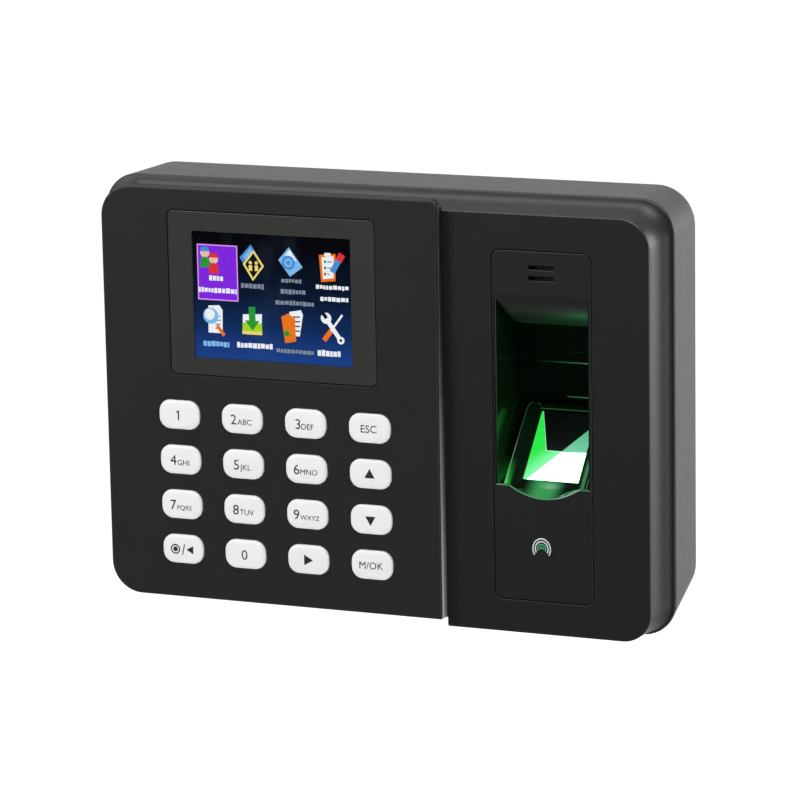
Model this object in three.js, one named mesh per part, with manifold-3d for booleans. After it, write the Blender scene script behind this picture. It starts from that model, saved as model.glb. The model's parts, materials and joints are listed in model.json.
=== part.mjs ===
// Wall-mounted fingerprint scanner terminal: a dark plastic case on a steel wall plate, with a raised
// keypad and display panel on the left and a deep, lit finger bay on the right.
// Millimetres, +X right, +Y towards the wall, +Z up. The origin is on the wall, behind the case's centre.
import * as THREE from 'three';
import { mergeVertices } from 'three/addons/utils/BufferGeometryUtils.js';
import Module from 'manifold-3d';

const wasm = await Module();
wasm.setup();

// ---- driving dimensions ----
const GAP = 0.3;                 // clearance between neighbouring pieces
const WALL = 2.2;                // moulded wall thickness
const PAST = 1;                  // how far a cutting solid runs past a face
const RIM = { halfWidth: 102.4, halfHeight: 73.55, radius: 12 };   // widest outline of the case

const BACK_Y = -2;               // back of the rear housing
const RIM_Y = -29.1;             // parting plane between rear and front housings
const SIDE_Y = -40;              // face of the finger side
const FRONT_Y = -44;             // face of the keypad panel

const BACK = { x0: -100.7, x1: 100.7, z0: -67.75, z1: 73.75, radius: 13 };
const SIDE = { x0: -97.06, x1: 97.06, z0: -73.55, z1: 68.2, radius: 10 };
const PANEL = { x0: -97.7, x1: 24.4, z0: -70.55, z1: 72, radius: 11 };
const STEP_X = 25.2;             // where the finger side starts
const EDGE = 0.7;                // rounding of the keypad panel's front edge

const WINDOW = { x0: -72.9, x1: 2.55, z0: 7.9, z1: 64.35, radius: 2, thick: 1.5 };
const SCREEN = { x: -35.1, z: 35.75, width: 69.2, height: 50, thick: 2.3 };

const KEY = { width: 14.9, height: 10, radius: 4, proud: 1.1, travel: 0.8, lip: 1.2 };
const KEY_X = -70.2;             // centre of the first column
const KEY_Z = -6.3;              // centre of the top row
const KEY_PITCH_X = 23.32;
const KEY_PITCH_Z = 15.7;
const KEY_NAMES = [
  ['key_1', 'key_2', 'key_3', 'key_escape'],
  ['key_4', 'key_5', 'key_6', 'key_up'],
  ['key_7', 'key_8', 'key_9', 'key_down'],
  ['key_back', 'key_0', 'key_right', 'key_ok'],
];

const BEZEL = { x0: 42.4, x1: 76.9, z0: -62.1, z1: 56, radius: 3, thick: 2 };
const BAY = { x0: 43.6, x1: 75.7, z0: -27, back: -10.5, wall: 1.0 };
const HOOD = { y: -12, z: 41.3, deep: 28, high: 14.5 };     // quarter ellipse above the finger
const SLOT = { x: 59.7, z: 48.8, width: 9.2, height: 1.5, pitch: 3.6 };
const PLATEN = { x: 59.9, y: -23.85, z: -12.85, width: 19.6, length: 27, tilt: Math.PI / 4 };

const PLATE = { halfWidth: 60, z0: -57, z1: 45, thick: 1.5, corner: 4 };
const PLATE_SLOT = { x: 30, inset: 8, width: 9, height: 4.6, radius: 2.2 };
const CABLE_WINDOW = { z: -27, width: 44, height: 24, radius: 3 };
const LIFT = 6;                  // how far the case slides up to leave the hooks
const HOOK = { x: 48, z: [30, -40], width: 10, lip: 4.5, thick: 1.5 };
const SLIP = 0.6;                // side play of the hooks and the tab in their slots
const LOCK = {
  y: -6, shank: 1.5, head: 2.9, headHeight: 2, reach: 3, hole: 2, tabHalfWidth: 6, tabFront: -9.5,
};

const POST = { x: 92, z: [61, -57], radius: 3.4, hole: 1.75, recess: 2.9, recessDepth: 3 };
const SCREW = { head: 2.6, headHeight: 1.8, sunk: 0.8, shank: 1.4, tip: -34 };

// ---- looks: colour, roughness, metalness ----
const LOOKS = {
  caseBlack: [0x1b1b1c, 0.55, 0],
  glossBlack: [0x0b0d0c, 0.2, 0],
  trim: [0xa9adac, 0.3, 0.6],
  key: [0xe9e9e6, 0.45, 0],
  window: [0x33342f, 0.12, 0],
  screen: [0x0b1c5c, 0.25, 0],
  frame: [0xd8d8d4, 0.6, 0],
  rubber: [0x6d7072, 0.8, 0],
  board: [0x14532d, 0.5, 0],
  prism: [0xd8ffe4, 0.05, 0],
  steel: [0xb9bcbd, 0.35, 0.9],
  cell: [0xc8cacb, 0.25, 0.9],
  ribbon: [0xc07a1e, 0.45, 0],
  screw: [0x8d9092, 0.35, 0.9],
};

// ---- solids from three.js shapes ----
const ARC = 3;                   // curve divisions of a large corner
const SMALL_ARC = 2;             // curve divisions of a small corner
const COARSE = 12;               // sides of a hidden rod or bore
const FINE = 20;                 // sides of a large or open round piece
const MIN_RADIUS = 0.3;

function roundedRect({ x0, x1, z0, z1, radius }) {
  const shape = new THREE.Shape();
  shape.absarc(x1 - radius, z1 - radius, radius, 0, Math.PI / 2);
  shape.absarc(x0 + radius, z1 - radius, radius, Math.PI / 2, Math.PI);
  shape.absarc(x0 + radius, z0 + radius, radius, Math.PI, Math.PI * 1.5);
  shape.absarc(x1 - radius, z0 + radius, radius, Math.PI * 1.5, Math.PI * 2);
  return shape;
}

function grow(rect, by) {
  const { x0, x1, z0, z1 } = rect;
  const radius = Math.max(rect.radius + by, MIN_RADIUS);
  return { ...rect, x0: x0 - by, x1: x1 + by, z0: z0 - by, z1: z1 + by, radius };
}

function centred(x, z, width, height, radius) {
  return { x0: x - width / 2, x1: x + width / 2, z0: z - height / 2, z1: z + height / 2, radius };
}

function toSolid(geometry) {
  const bare = geometry.index ? geometry.toNonIndexed() : geometry.clone();
  bare.deleteAttribute('normal');
  bare.deleteAttribute('uv');
  const merged = mergeVertices(bare, 1e-4);
  const vertProperties = new Float32Array(merged.attributes.position.array);
  const triVerts = new Uint32Array(merged.index.array);
  return new wasm.Manifold(new wasm.Mesh({ numProp: 3, vertProperties, triVerts }));
}

// An outline in X and Z, extruded from y0 to y1.
function slab(rect, y0, y1, divisions = ARC) {
  const shape = rect instanceof THREE.Shape ? rect : roundedRect(rect);
  const options = { depth: y1 - y0, bevelEnabled: false, curveSegments: divisions };
  return toSolid(new THREE.ExtrudeGeometry(shape, options).rotateX(Math.PI / 2).translate(0, y1, 0));
}

// A closed skin through rounded outlines, listed from the front (low Y) to the back.
function loft(sections, divisions = ARC) {
  const rings = sections.map(({ rect, y }) => {
    const points = roundedRect(rect).getPoints(divisions);
    return points.map((p) => new THREE.Vector3(p.x, y, p.y));
  });
  const count = rings[0].length;
  const corners = [];
  const face = (a, b, c) => corners.push(a, b, c);
  for (let k = 0; k + 1 < rings.length; k += 1) {
    for (let i = 0; i < count; i += 1) {
      const j = (i + 1) % count;
      face(rings[k][i], rings[k + 1][i], rings[k][j]);
      face(rings[k][j], rings[k + 1][i], rings[k + 1][j]);
    }
  }
  const last = rings.length - 1;
  for (let i = 1; i + 1 < count; i += 1) {
    face(rings[0][0], rings[0][i], rings[0][i + 1]);
    face(rings[last][0], rings[last][i + 1], rings[last][i]);
  }
  return toSolid(new THREE.BufferGeometry().setFromPoints(corners));
}

function box(x0, x1, y0, y1, z0, z1) {
  const geometry = new THREE.BoxGeometry(x1 - x0, y1 - y0, z1 - z0);
  return toSolid(geometry.translate((x0 + x1) / 2, (y0 + y1) / 2, (z0 + z1) / 2));
}

// A cylinder along Y.
function rodY(x, z, radius, y0, y1, sides = 16) {
  const geometry = new THREE.CylinderGeometry(radius, radius, y1 - y0, sides);
  return toSolid(geometry.translate(x, (y0 + y1) / 2, z));
}

// A cylinder along Z.
function rodZ(x, y, radius, z0, z1, sides = 16) {
  const geometry = new THREE.CylinderGeometry(radius, radius, z1 - z0, sides).rotateX(Math.PI / 2);
  return toSolid(geometry.translate(x, y, (z0 + z1) / 2));
}

// A Y-Z outline extruded along X.
function beam(points, x0, x1) {
  const shape = new THREE.Shape(points.map(([y, z]) => new THREE.Vector2(y, z)));
  const geometry = new THREE.ExtrudeGeometry(shape, { depth: x1 - x0, bevelEnabled: false });
  const basis = new THREE.Matrix4().makeBasis(
    new THREE.Vector3(0, 1, 0), new THREE.Vector3(0, 0, 1), new THREE.Vector3(1, 0, 0));
  return toSolid(geometry.applyMatrix4(basis).translate(x0, 0, 0));
}

// A box in the platen's own frame: across, up the slope, and out of the glass.
function tiltedBox(halfWidth, s0, s1, n0, n1, x = 0) {
  const geometry = new THREE.BoxGeometry(2 * halfWidth, s1 - s0, n1 - n0);
  geometry.translate(x, (s0 + s1) / 2, (n0 + n1) / 2).rotateX(PLATEN.tilt);
  return toSolid(geometry.translate(PLATEN.x, PLATEN.y, PLATEN.z));
}

const group = new THREE.Group();

function place(name, shape, look) {
  const { vertProperties, triVerts } = shape.getMesh();
  const geometry = new THREE.BufferGeometry();
  geometry.setAttribute('position', new THREE.BufferAttribute(vertProperties, 3));
  geometry.setIndex(new THREE.BufferAttribute(triVerts, 1));
  geometry.computeVertexNormals();
  const [color, roughness, metalness] = LOOKS[look];
  const mesh = new THREE.Mesh(geometry, new THREE.MeshStandardMaterial({ color, roughness, metalness }));
  mesh.name = name;
  group.add(mesh);
}

// ---- case ----
const rimRect = {
  x0: -RIM.halfWidth, x1: RIM.halfWidth, z0: -RIM.halfHeight, z1: RIM.halfHeight, radius: RIM.radius,
};
const FAR = 120;                 // reach of a solid that bounds one half of the case

function blend(from, to, share) {
  const mix = {};
  for (const side of Object.keys(rimRect)) mix[side] = from[side] + (to[side] - from[side]) * share;
  return mix;
}

function half(x0, x1) {
  return box(x0, x1, -FAR, 0, -FAR, FAR);
}

// Height of the case's underside at a depth y, which rises towards the wall.
function undersideZ(y) {
  const share = (y - RIM_Y) / (BACK_Y - RIM_Y);
  return -RIM.halfHeight + (BACK.z0 + RIM.halfHeight) * share;
}

const SOCKETS = {
  network: { x: -52, y: -19, width: 16, deep: 13.5, length: 15.5, mouth: [12, 8.6], inside: 12 },
  usb: { x: -24, y: -15.8, width: 14.6, deep: 7.2, length: 14, mouth: [12.6, 4.8], inside: 10 },
  power: { x: 4, y: -17.8, width: 9.4, deep: 11, length: 13.5, bore: 3.2, inside: 9 },
};
const SOCKET_Z = -67;            // lower ends of the sockets
const SOCKET_EDGE = 0.8;         // how far the port plate laps over each socket's edge
const PORTS = { x0: -63, x1: 12, y1: -10.5 };

function rearHousing() {
  const outer = loft([{ rect: rimRect, y: RIM_Y }, { rect: BACK, y: BACK_Y }]);
  const inner = loft([
    { rect: grow(rimRect, -WALL), y: RIM_Y - PAST },
    { rect: grow(BACK, -WALL), y: BACK_Y - WALL },
  ]);
  const slotFront = BACK_Y - 2 * WALL;
  let shell = outer.subtract(inner);
  for (const side of [-1, 1]) {
    for (const z of POST.z) {
      const x = side * POST.x;
      shell = shell.add(rodY(x, z, POST.radius, RIM_Y, BACK_Y - WALL / 2, COARSE));
      shell = shell.subtract(rodY(x, z, POST.hole, RIM_Y - PAST, BACK_Y - PAST, COARSE));
      shell = shell.subtract(rodY(x, z, POST.recess, BACK_Y - POST.recessDepth, BACK_Y + PAST, COARSE));
    }
    for (const z of HOOK.z) {
      const x = side * HOOK.x;
      const reach = HOOK.width / 2 + SLIP;
      const top = z + HOOK.thick + GAP;
      const bottom = z - LIFT - GAP;
      shell = shell.subtract(box(x - reach, x + reach, slotFront, BACK_Y + PAST, bottom, top));
    }
  }
  const tabTop = PLATE.z0 + GAP;
  const tabBottom = tabTop - LIFT - HOOK.thick - 2 * GAP;
  const tabHalf = LOCK.tabHalfWidth + SLIP;
  shell = shell.subtract(box(-tabHalf, tabHalf, slotFront, BACK_Y + PAST, tabBottom, tabTop));
  shell = shell.subtract(rodZ(0, LOCK.y, LOCK.hole, -RIM.halfHeight - PAST, PLATE.z0 - 2 * WALL, COARSE));
  shell = shell.subtract(box(PORTS.x0 - GAP, PORTS.x1 + GAP, RIM_Y - PAST, PORTS.y1 + GAP,
    -RIM.halfHeight - PAST, undersideZ(PORTS.y1) + 2 * WALL));
  place('rear_housing', shell, 'caseBlack');
}

// A strip of the underside, let into the rear housing, with a cut-out for each socket.
function portPlate() {
  const { x0, x1, y1 } = PORTS;
  const low = undersideZ(RIM_Y);
  const high = undersideZ(y1);
  let plate = beam([[RIM_Y, low], [y1, high], [y1, high + WALL], [RIM_Y, low + WALL]], x0, x1);
  for (const { x, y, width, deep } of Object.values(SOCKETS)) {
    const w = width / 2 - SOCKET_EDGE;
    const d = deep / 2 - SOCKET_EDGE;
    plate = plate.subtract(box(x - w, x + w, y - d, y + d, -FAR, SOCKET_Z));
  }
  place('port_plate', plate, 'caseBlack');
}

// The hollow bevel from the finger side's face out to the rim, as part of a quarter ellipse.
const COVE_SWEEP = THREE.MathUtils.degToRad(80);
const COVE_STEPS = 4;

function coveSections() {
  const sections = [];
  for (let k = 0; k <= COVE_STEPS; k += 1) {
    const angle = (COVE_SWEEP * k) / COVE_STEPS;
    const share = (1 - Math.cos(angle)) / (1 - Math.cos(COVE_SWEEP));
    const depth = Math.sin(angle) / Math.sin(COVE_SWEEP);
    sections.push({ rect: blend(SIDE, rimRect, share), y: SIDE_Y + (RIM_Y - GAP - SIDE_Y) * depth });
  }
  return sections;
}

// The tray behind the keypad panel, which carries the display and the keypad's board.
const TRAY = { x0: -93.5, z0: -66, z1: 67, radius: 8, front: -35.2, back: -33.4 };
const DISPLAY_HOLE = { x0: -66, x1: -4, z0: 16, z1: 56 };
const KEYPAD_HOLE = { x0: -50, x1: -20, z0: -40, z1: -20 };
const CABLE_PASS = 30;           // half-height of the pass between the two halves

function throughTray({ x0, x1, z0, z1 }) {
  return box(x0, x1, TRAY.front - PAST, TRAY.back + PAST, z0, z1);
}

function frontHousing() {
  const back = RIM_Y - GAP;
  const cove = loft(coveSections());
  const cavity = loft([
    { rect: grow(SIDE, -WALL), y: SIDE_Y + WALL },
    { rect: grow(rimRect, -2.4 * WALL), y: RIM_Y + PAST },
  ]);
  const tray = slab({ ...TRAY, x1: STEP_X + 2 * TRAY.radius }, TRAY.front, TRAY.back);
  let shell = cove.intersect(half(STEP_X, FAR)).subtract(cavity);
  shell = shell.add(box(STEP_X, STEP_X + WALL, SIDE_Y, back, SIDE.z0 + 1, SIDE.z1 - 1));
  shell = shell.add(tray.intersect(half(-FAR, STEP_X + WALL / 2)));
  shell = shell.subtract(throughTray(DISPLAY_HOLE)).subtract(throughTray(KEYPAD_HOLE));
  shell = shell.subtract(
    box(STEP_X - PAST, STEP_X + WALL + PAST, TRAY.back + GAP, back + PAST, -CABLE_PASS, CABLE_PASS));
  for (const z of POST.z) {
    shell = shell.add(rodY(POST.x, z, POST.radius, SIDE_Y + WALL / 2, back, COARSE).intersect(cove));
    shell = shell.subtract(rodY(POST.x, z, POST.hole, SIDE_Y + 2 * WALL, back + PAST, COARSE));
    shell = shell.subtract(rodY(-POST.x, z, POST.radius + SLIP, TRAY.front - PAST, TRAY.back + PAST, COARSE));
  }
  shell = shell.subtract(slab(grow(BEZEL, GAP), SIDE_Y - PAST, SIDE_Y + 2 * WALL, SMALL_ARC));
  place('front_housing', shell, 'caseBlack');
}

function keyRect(row, column, by = 0) {
  const x = KEY_X + column * KEY_PITCH_X;
  const z = KEY_Z - row * KEY_PITCH_Z;
  return grow(centred(x, z, KEY.width, KEY.height, KEY.radius), by);
}

function eachKey(visit) {
  KEY_NAMES.forEach((names, row) => names.forEach((name, column) => visit(name, row, column)));
}

const BASE_INSET = 0.6;          // how far the keypad panel's foot stays inside the rim
const WINDOW_LEDGE = 3;          // width of the ledge that the window is glued to

function keypadPanel() {
  const back = RIM_Y - GAP;
  const face = FRONT_Y + WALL;
  const wide = { ...PANEL, x1: PANEL.x1 + 4 * PANEL.radius };
  const outer = loft([
    { rect: grow(wide, -EDGE), y: FRONT_Y },
    { rect: wide, y: FRONT_Y + EDGE },
    { rect: { ...grow(rimRect, -BASE_INSET), x1: wide.x1 }, y: back },
  ]);
  const inside = { ...grow(PANEL, -1.5 * WALL), radius: TRAY.radius };
  const sill = grow(WINDOW, GAP / 2);
  let panel = outer.intersect(half(-FAR, PANEL.x1));
  panel = panel.subtract(slab(inside, face, 0, SMALL_ARC));
  panel = panel.subtract(slab(sill, FRONT_Y - PAST, FRONT_Y + WINDOW.thick + 0.2, SMALL_ARC));
  panel = panel.subtract(slab(grow(WINDOW, -WINDOW_LEDGE), FRONT_Y - PAST, face + PAST, 1));
  eachKey((name, row, column) => {
    panel = panel.subtract(slab(keyRect(row, column, GAP), FRONT_Y - PAST, face + PAST, SMALL_ARC));
  });
  panel = panel.subtract(
    box(PANEL.x1 - 2 * PANEL.radius, STEP_X, TRAY.front - GAP, 0, TRAY.z0 - GAP, TRAY.z1 + GAP));
  for (const z of POST.z) {
    panel = panel.add(rodY(-POST.x, z, POST.radius, FRONT_Y + WALL / 2, back, COARSE).intersect(outer));
    panel = panel.subtract(rodY(-POST.x, z, POST.hole, FRONT_Y + 2 * WALL, back + PAST, COARSE));
  }
  place('keypad_panel', panel, 'caseBlack');
}

function stepTrim() {
  const side = 0.05;
  const strip = box(PANEL.x1 + side, STEP_X - side, FRONT_Y + 2 * GAP, SIDE_Y, PANEL.z0 + 0.4, SIDE.z1);
  place('step_trim', strip, 'trim');
}

// ---- display ----
const FRAME = { lap: 1.5, ledge: 3, thick: 2.2, floor: 1.2 };

function display() {
  const y = FRONT_Y + 0.1;
  place('display_window', slab(grow(WINDOW, -GAP / 2), y, y + WINDOW.thick, SMALL_ARC), 'window');
  const front = FRONT_Y + WALL + GAP;
  const glass = centred(SCREEN.x, SCREEN.z, SCREEN.width, SCREEN.height, 1);
  place('display_panel', slab(glass, front, front + SCREEN.thick, 1), 'screen');
  const seat = front + SCREEN.thick + GAP;
  const frame = slab(grow(glass, FRAME.lap), seat, seat + FRAME.thick, 1);
  const hollow = slab(grow(glass, -FRAME.ledge), seat - PAST, seat + FRAME.floor, 1);
  place('display_frame', frame.subtract(hollow), 'frame');
}

// ---- keypad ----
const LIP_FRONT = FRONT_Y + WALL + GAP;         // front of each key's retaining lip
const LIP_BACK = LIP_FRONT + 1;
const MAT = { marginX: 9, marginZ: 7, radius: 2, stub: 3.4, stubHeight: 1.9, thick: 0.9 };
const KEY_BOARD = { margin: 2, thick: 1.4 };

function keys() {
  eachKey((name, row, column) => {
    const cap = slab(keyRect(row, column), FRONT_Y - KEY.proud, LIP_BACK, SMALL_ARC);
    place(name, cap.add(slab(keyRect(row, column, KEY.lip), LIP_FRONT, LIP_BACK, 1)), 'key');
  });
}

function keypadLayers() {
  const matFront = LIP_BACK + KEY.travel + GAP;
  const matBack = matFront + MAT.stubHeight;
  const area = {
    x0: KEY_X - MAT.marginX,
    x1: KEY_X + 3 * KEY_PITCH_X + MAT.marginX,
    z0: KEY_Z - 3 * KEY_PITCH_Z - MAT.marginZ,
    z1: KEY_Z + MAT.marginZ,
    radius: MAT.radius,
  };
  let mat = slab(area, matBack - MAT.thick, matBack, 1);
  eachKey((name, row, column) => {
    const { x0, x1, z0, z1 } = keyRect(row, column);
    mat = mat.add(rodY((x0 + x1) / 2, (z0 + z1) / 2, MAT.stub, matFront, matBack - MAT.thick / 2, COARSE));
  });
  place('key_mat', mat, 'rubber');
  const front = matBack + GAP;
  place('keypad_board', slab(grow(area, KEY_BOARD.margin), front, front + KEY_BOARD.thick, 1), 'board');
}

// ---- finger bay and sensor ----
const FLOOR = 1.9;               // depth of the bay's sloping floor below the glass
const FLOOR_THICK = 1.4;
const HOOD_STEPS = 6;

// Height on the plane that lies n out of the glass, at a depth y.
function slopeZ(y, n) {
  return PLATEN.z + (y - PLATEN.y) + n * Math.SQRT2;
}

function slopeY(z, n) {
  return PLATEN.y + (z - PLATEN.z) - n * Math.SQRT2;
}

// The roll above the finger from the ceiling out to the face, raised by a distance.
function hoodLine(raised) {
  const points = [];
  for (let k = HOOD_STEPS; k >= 0; k -= 1) {
    const angle = (Math.PI / 2) * (k / HOOD_STEPS);
    points.push([HOOD.y - HOOD.deep * Math.cos(angle), HOOD.z - HOOD.high * Math.sin(angle) + raised]);
  }
  return points;
}

function fingerBezel() {
  const back = SIDE_Y + BEZEL.thick;
  const inPlate = SIDE_Y + BEZEL.thick / 4;
  const under = FLOOR + FLOOR_THICK;
  const { z0, wall } = BAY;
  const ceiling = HOOD.z - HOOD.high;
  const rear = BAY.back + wall;
  const jacket = hoodLine(wall);
  jacket[jacket.length - 1] = [inPlate, HOOD.z + wall];
  const outline = [
    [inPlate, z0 - wall], [slopeY(z0 - wall, -under), z0 - wall], [rear, slopeZ(rear, -under)],
    [rear, ceiling + wall], ...jacket,
  ];
  const hollow = [
    [SIDE_Y - PAST, z0], [slopeY(z0, -FLOOR), z0],
    [BAY.back, slopeZ(BAY.back, -FLOOR)], [BAY.back, ceiling], ...hoodLine(0), [SIDE_Y - PAST, HOOD.z],
  ];
  let bezel = slab(BEZEL, SIDE_Y, back, SMALL_ARC);
  bezel = bezel.add(beam(outline, BAY.x0 - wall, BAY.x1 + wall));
  bezel = bezel.subtract(beam(hollow, BAY.x0, BAY.x1));
  const end = PLATEN.length / 2 + GAP;
  bezel = bezel.subtract(tiltedBox(PLATEN.width / 2 + GAP, -end, end, -2 * under, 0));
  for (const side of [-1, 1]) {
    const slot = centred(SLOT.x, SLOT.z + (side * SLOT.pitch) / 2, SLOT.width, SLOT.height, SLOT.height / 4);
    bezel = bezel.subtract(slab(slot, SIDE_Y - PAST, back + PAST, 1));
  }
  place('finger_bezel', bezel, 'glossBlack');
}

// A frame round the glass with a raised wing on each side, which centres the finger.
const GUIDE = { s0: -17.4, s1: 16.4, base: -1.8, top: -0.3 };
const WING = { inset: 3, halfWidth: 1.8, s0: -16.5, s1: 15.5, root: -0.6, crest: 2.6 };

function fingerGuide() {
  const reach = (BAY.x1 - BAY.x0) / 2 - GAP;
  const shift = (BAY.x0 + BAY.x1) / 2 - PLATEN.x;
  const window = PLATEN.width / 2 + GAP;
  const end = PLATEN.length / 2 + GAP;
  let guide = tiltedBox(reach, GUIDE.s0, GUIDE.s1, GUIDE.base, GUIDE.top, shift);
  guide = guide.subtract(tiltedBox(window, -end, end, GUIDE.base - PAST, GUIDE.top + PAST));
  for (const side of [-1, 1]) {
    const x = side * (window + WING.inset);
    guide = guide.add(tiltedBox(WING.halfWidth, WING.s0, WING.s1, WING.root, WING.crest, x));
  }
  place('finger_guide', guide, 'glossBlack');
}

const CHAMBER = { halfWidth: 11.5, wall: 1.5, front: -34.5, back: -12.6, bottom: -56 };
const LENS = { barrel: 4.2, nose: 2.8, shoulder: -46, tip: -44 };
const LIGHT_BOARD = { thick: 1.2, top: -8.3, halfWidth: 9.6 };
const CAMERA_BOARD = { halfWidth: 11, thick: 1.6 };

function sensor() {
  const { x, y, z, width, length } = PLATEN;
  const reach = (length / 2) * Math.SQRT1_2;
  const prism = beam([[y - reach, z - reach], [y + reach, z - reach], [y + reach, z + reach]],
    x - width / 2, x + width / 2);
  place('finger_prism', prism, 'prism');

  const top = z - reach - GAP;
  const { halfWidth, wall, front, back, bottom } = CHAMBER;
  const inner = halfWidth - wall;
  let housing = box(x - halfWidth, x + halfWidth, front, back, bottom, top);
  housing = housing.subtract(box(x - inner, x + inner, front + wall, back - wall, bottom - PAST, top + PAST));
  housing = housing.subtract(tiltedBox(FAR, -FAR, FAR, -FLOOR - FLOOR_THICK - GAP, FAR));
  place('sensor_housing', housing, 'glossBlack');

  const lightY = y + reach + GAP;
  const light = LIGHT_BOARD;
  const lightArea = [x - light.halfWidth, x + light.halfWidth, lightY, lightY + light.thick];
  place('sensor_light_board', box(...lightArea, top + GAP, light.top), 'board');
  const board = CAMERA_BOARD;
  const boardZ = bottom - GAP - board.thick / 2;
  const edge = centred(x, boardZ, 2 * board.halfWidth, board.thick, MIN_RADIUS);
  place('camera_board', slab(edge, front, back, 1), 'board');
  const lensY = (front + back) / 2;
  const barrel = rodZ(x, lensY, LENS.barrel, bottom, LENS.shoulder);
  place('camera_lens', barrel.add(rodZ(x, lensY, LENS.nose, LENS.shoulder - PAST, LENS.tip)), 'glossBlack');
}

const SPEAKER = { radius: 9, rim: 1.6, magnet: 5, depth: 4.4 };

function speaker() {
  const front = SIDE_Y + 2 * GAP + BEZEL.thick;
  const cone = rodY(SLOT.x, SLOT.z, SPEAKER.radius, front, front + SPEAKER.rim, FINE);
  const magnet = rodY(SLOT.x, SLOT.z, SPEAKER.magnet, front + SPEAKER.rim / 2, front + SPEAKER.depth, FINE);
  place('speaker', cone.add(magnet), 'glossBlack');
}

// ---- electronics ----
const BOARD = { x0: -84, x1: 37, z0: -60, z1: 46, front: -12, back: -10.4, radius: 2 };
const SHIELD = { x: -20, z: 10, size: 32, height: 3 };
const CELL = { x: 15, z: -25, radius: 6.2, height: 2.6 };

function electronics() {
  const parts = BOARD.front - GAP;
  place('main_board', slab(BOARD, BOARD.front, BOARD.back, 1), 'board');
  const can = centred(SHIELD.x, SHIELD.z, SHIELD.size, SHIELD.size, 1);
  place('processor_shield', slab(can, parts - SHIELD.height, parts, 1), 'steel');
  place('clock_cell', rodY(CELL.x, CELL.z, CELL.radius, parts - CELL.height, parts, FINE), 'cell');
}

function sockets() {
  for (const [name, { x, y, width, deep, length, mouth, bore, inside }] of Object.entries(SOCKETS)) {
    const w = width / 2;
    const d = deep / 2;
    const from = SOCKET_Z - PAST;
    const to = SOCKET_Z + inside;
    const body = box(x - w, x + w, y - d, y + d, SOCKET_Z, SOCKET_Z + length);
    const hollow = bore
      ? rodZ(x, y, bore, from, to, FINE)
      : box(x - mouth[0] / 2, x + mouth[0] / 2, y - mouth[1] / 2, y + mouth[1] / 2, from, to);
    place(`${name}_socket`, body.subtract(hollow), bore ? 'glossBlack' : 'steel');
  }
}

// Flat cables from the display and from the camera board to the main board.
const FILM = 0.4;
const DISPLAY_LEAD = { x0: -64, x1: -50, top: 22, start: 17, foot: 6 };
const CAMERA_LEAD = { x0: 33, x1: 48.6, z: -57.3, top: -48, y0: -26 };

function ribbons() {
  const from = TRAY.front - GAP;
  const to = BOARD.front - GAP;
  const { x0, x1, top, start, foot } = DISPLAY_LEAD;
  place('display_ribbon', beam([
    [from, top], [to, top], [to, foot], [to - FILM, foot], [to - FILM, top - FILM],
    [from + FILM, top - FILM], [from + FILM, start], [from, start],
  ], x0, x1), 'ribbon');

  const lead = new THREE.Shape();
  lead.moveTo(CAMERA_LEAD.x1, CAMERA_LEAD.z);
  lead.lineTo(CAMERA_LEAD.x1, CAMERA_LEAD.z + FILM);
  lead.lineTo(CAMERA_LEAD.x0 + FILM, CAMERA_LEAD.z + FILM);
  lead.lineTo(CAMERA_LEAD.x0 + FILM, CAMERA_LEAD.top);
  lead.lineTo(CAMERA_LEAD.x0, CAMERA_LEAD.top);
  lead.lineTo(CAMERA_LEAD.x0, CAMERA_LEAD.z);
  place('sensor_ribbon', slab(lead, CAMERA_LEAD.y0, to), 'ribbon');
}

// ---- fastenings ----
function caseScrews() {
  const top = BACK_Y - SCREW.sunk;
  const under = top - SCREW.headHeight;
  let number = 1;
  for (const side of [-1, 1]) {
    for (const z of POST.z) {
      const x = side * POST.x;
      const shank = rodY(x, z, SCREW.shank, SCREW.tip, under + SCREW.headHeight / 2, COARSE);
      place(`case_screw_${number}`, rodY(x, z, SCREW.head, under, top).add(shank), 'screw');
      number += 1;
    }
  }
}

function wallPlate() {
  const { halfWidth, z0, z1, thick, corner } = PLATE;
  const reach = BACK_Y - WALL - GAP - HOOK.thick;
  const inside = -thick / 2;
  let plate = slab({ x0: -halfWidth, x1: halfWidth, z0, z1, radius: corner }, -thick, 0, SMALL_ARC);
  for (const side of [-1, 1]) {
    const x0 = side * HOOK.x - HOOK.width / 2;
    const x1 = x0 + HOOK.width;
    for (const z of HOOK.z) {
      const top = z + HOOK.thick;
      plate = plate.add(box(x0, x1, reach, inside, z, top));
      plate = plate.add(box(x0, x1, reach, reach + HOOK.thick, z, top + HOOK.lip));
    }
    for (const z of [z1 - PLATE_SLOT.inset, z0 + PLATE_SLOT.inset]) {
      const { x, width, height, radius } = PLATE_SLOT;
      const slot = centred(side * x, z, width, height, radius);
      plate = plate.subtract(slab(slot, -thick - PAST, PAST, SMALL_ARC));
    }
  }
  const { z: windowZ, width, height, radius } = CABLE_WINDOW;
  const opening = centred(0, windowZ, width, height, radius);
  plate = plate.subtract(slab(opening, -thick - PAST, PAST, SMALL_ARC));
  const tab = LOCK.tabHalfWidth;
  const tabLow = z0 - HOOK.thick;
  plate = plate.add(box(-tab, tab, LOCK.tabFront, inside, tabLow, z0));
  plate = plate.add(box(-tab, tab, -thick, 0, tabLow, z0 + corner));
  plate = plate.subtract(rodZ(0, LOCK.y, LOCK.shank + GAP, tabLow - PAST, z0 + PAST, COARSE));
  place('wall_plate', plate, 'steel');
}

function lockScrew() {
  const top = undersideZ(LOCK.y - LOCK.head) - GAP;
  const head = rodZ(0, LOCK.y, LOCK.head, top - LOCK.headHeight, top);
  const shank = rodZ(0, LOCK.y, LOCK.shank, top - LOCK.headHeight / 2, PLATE.z0 + LOCK.reach, COARSE);
  place('lock_screw', head.add(shank), 'screw');
}

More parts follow.
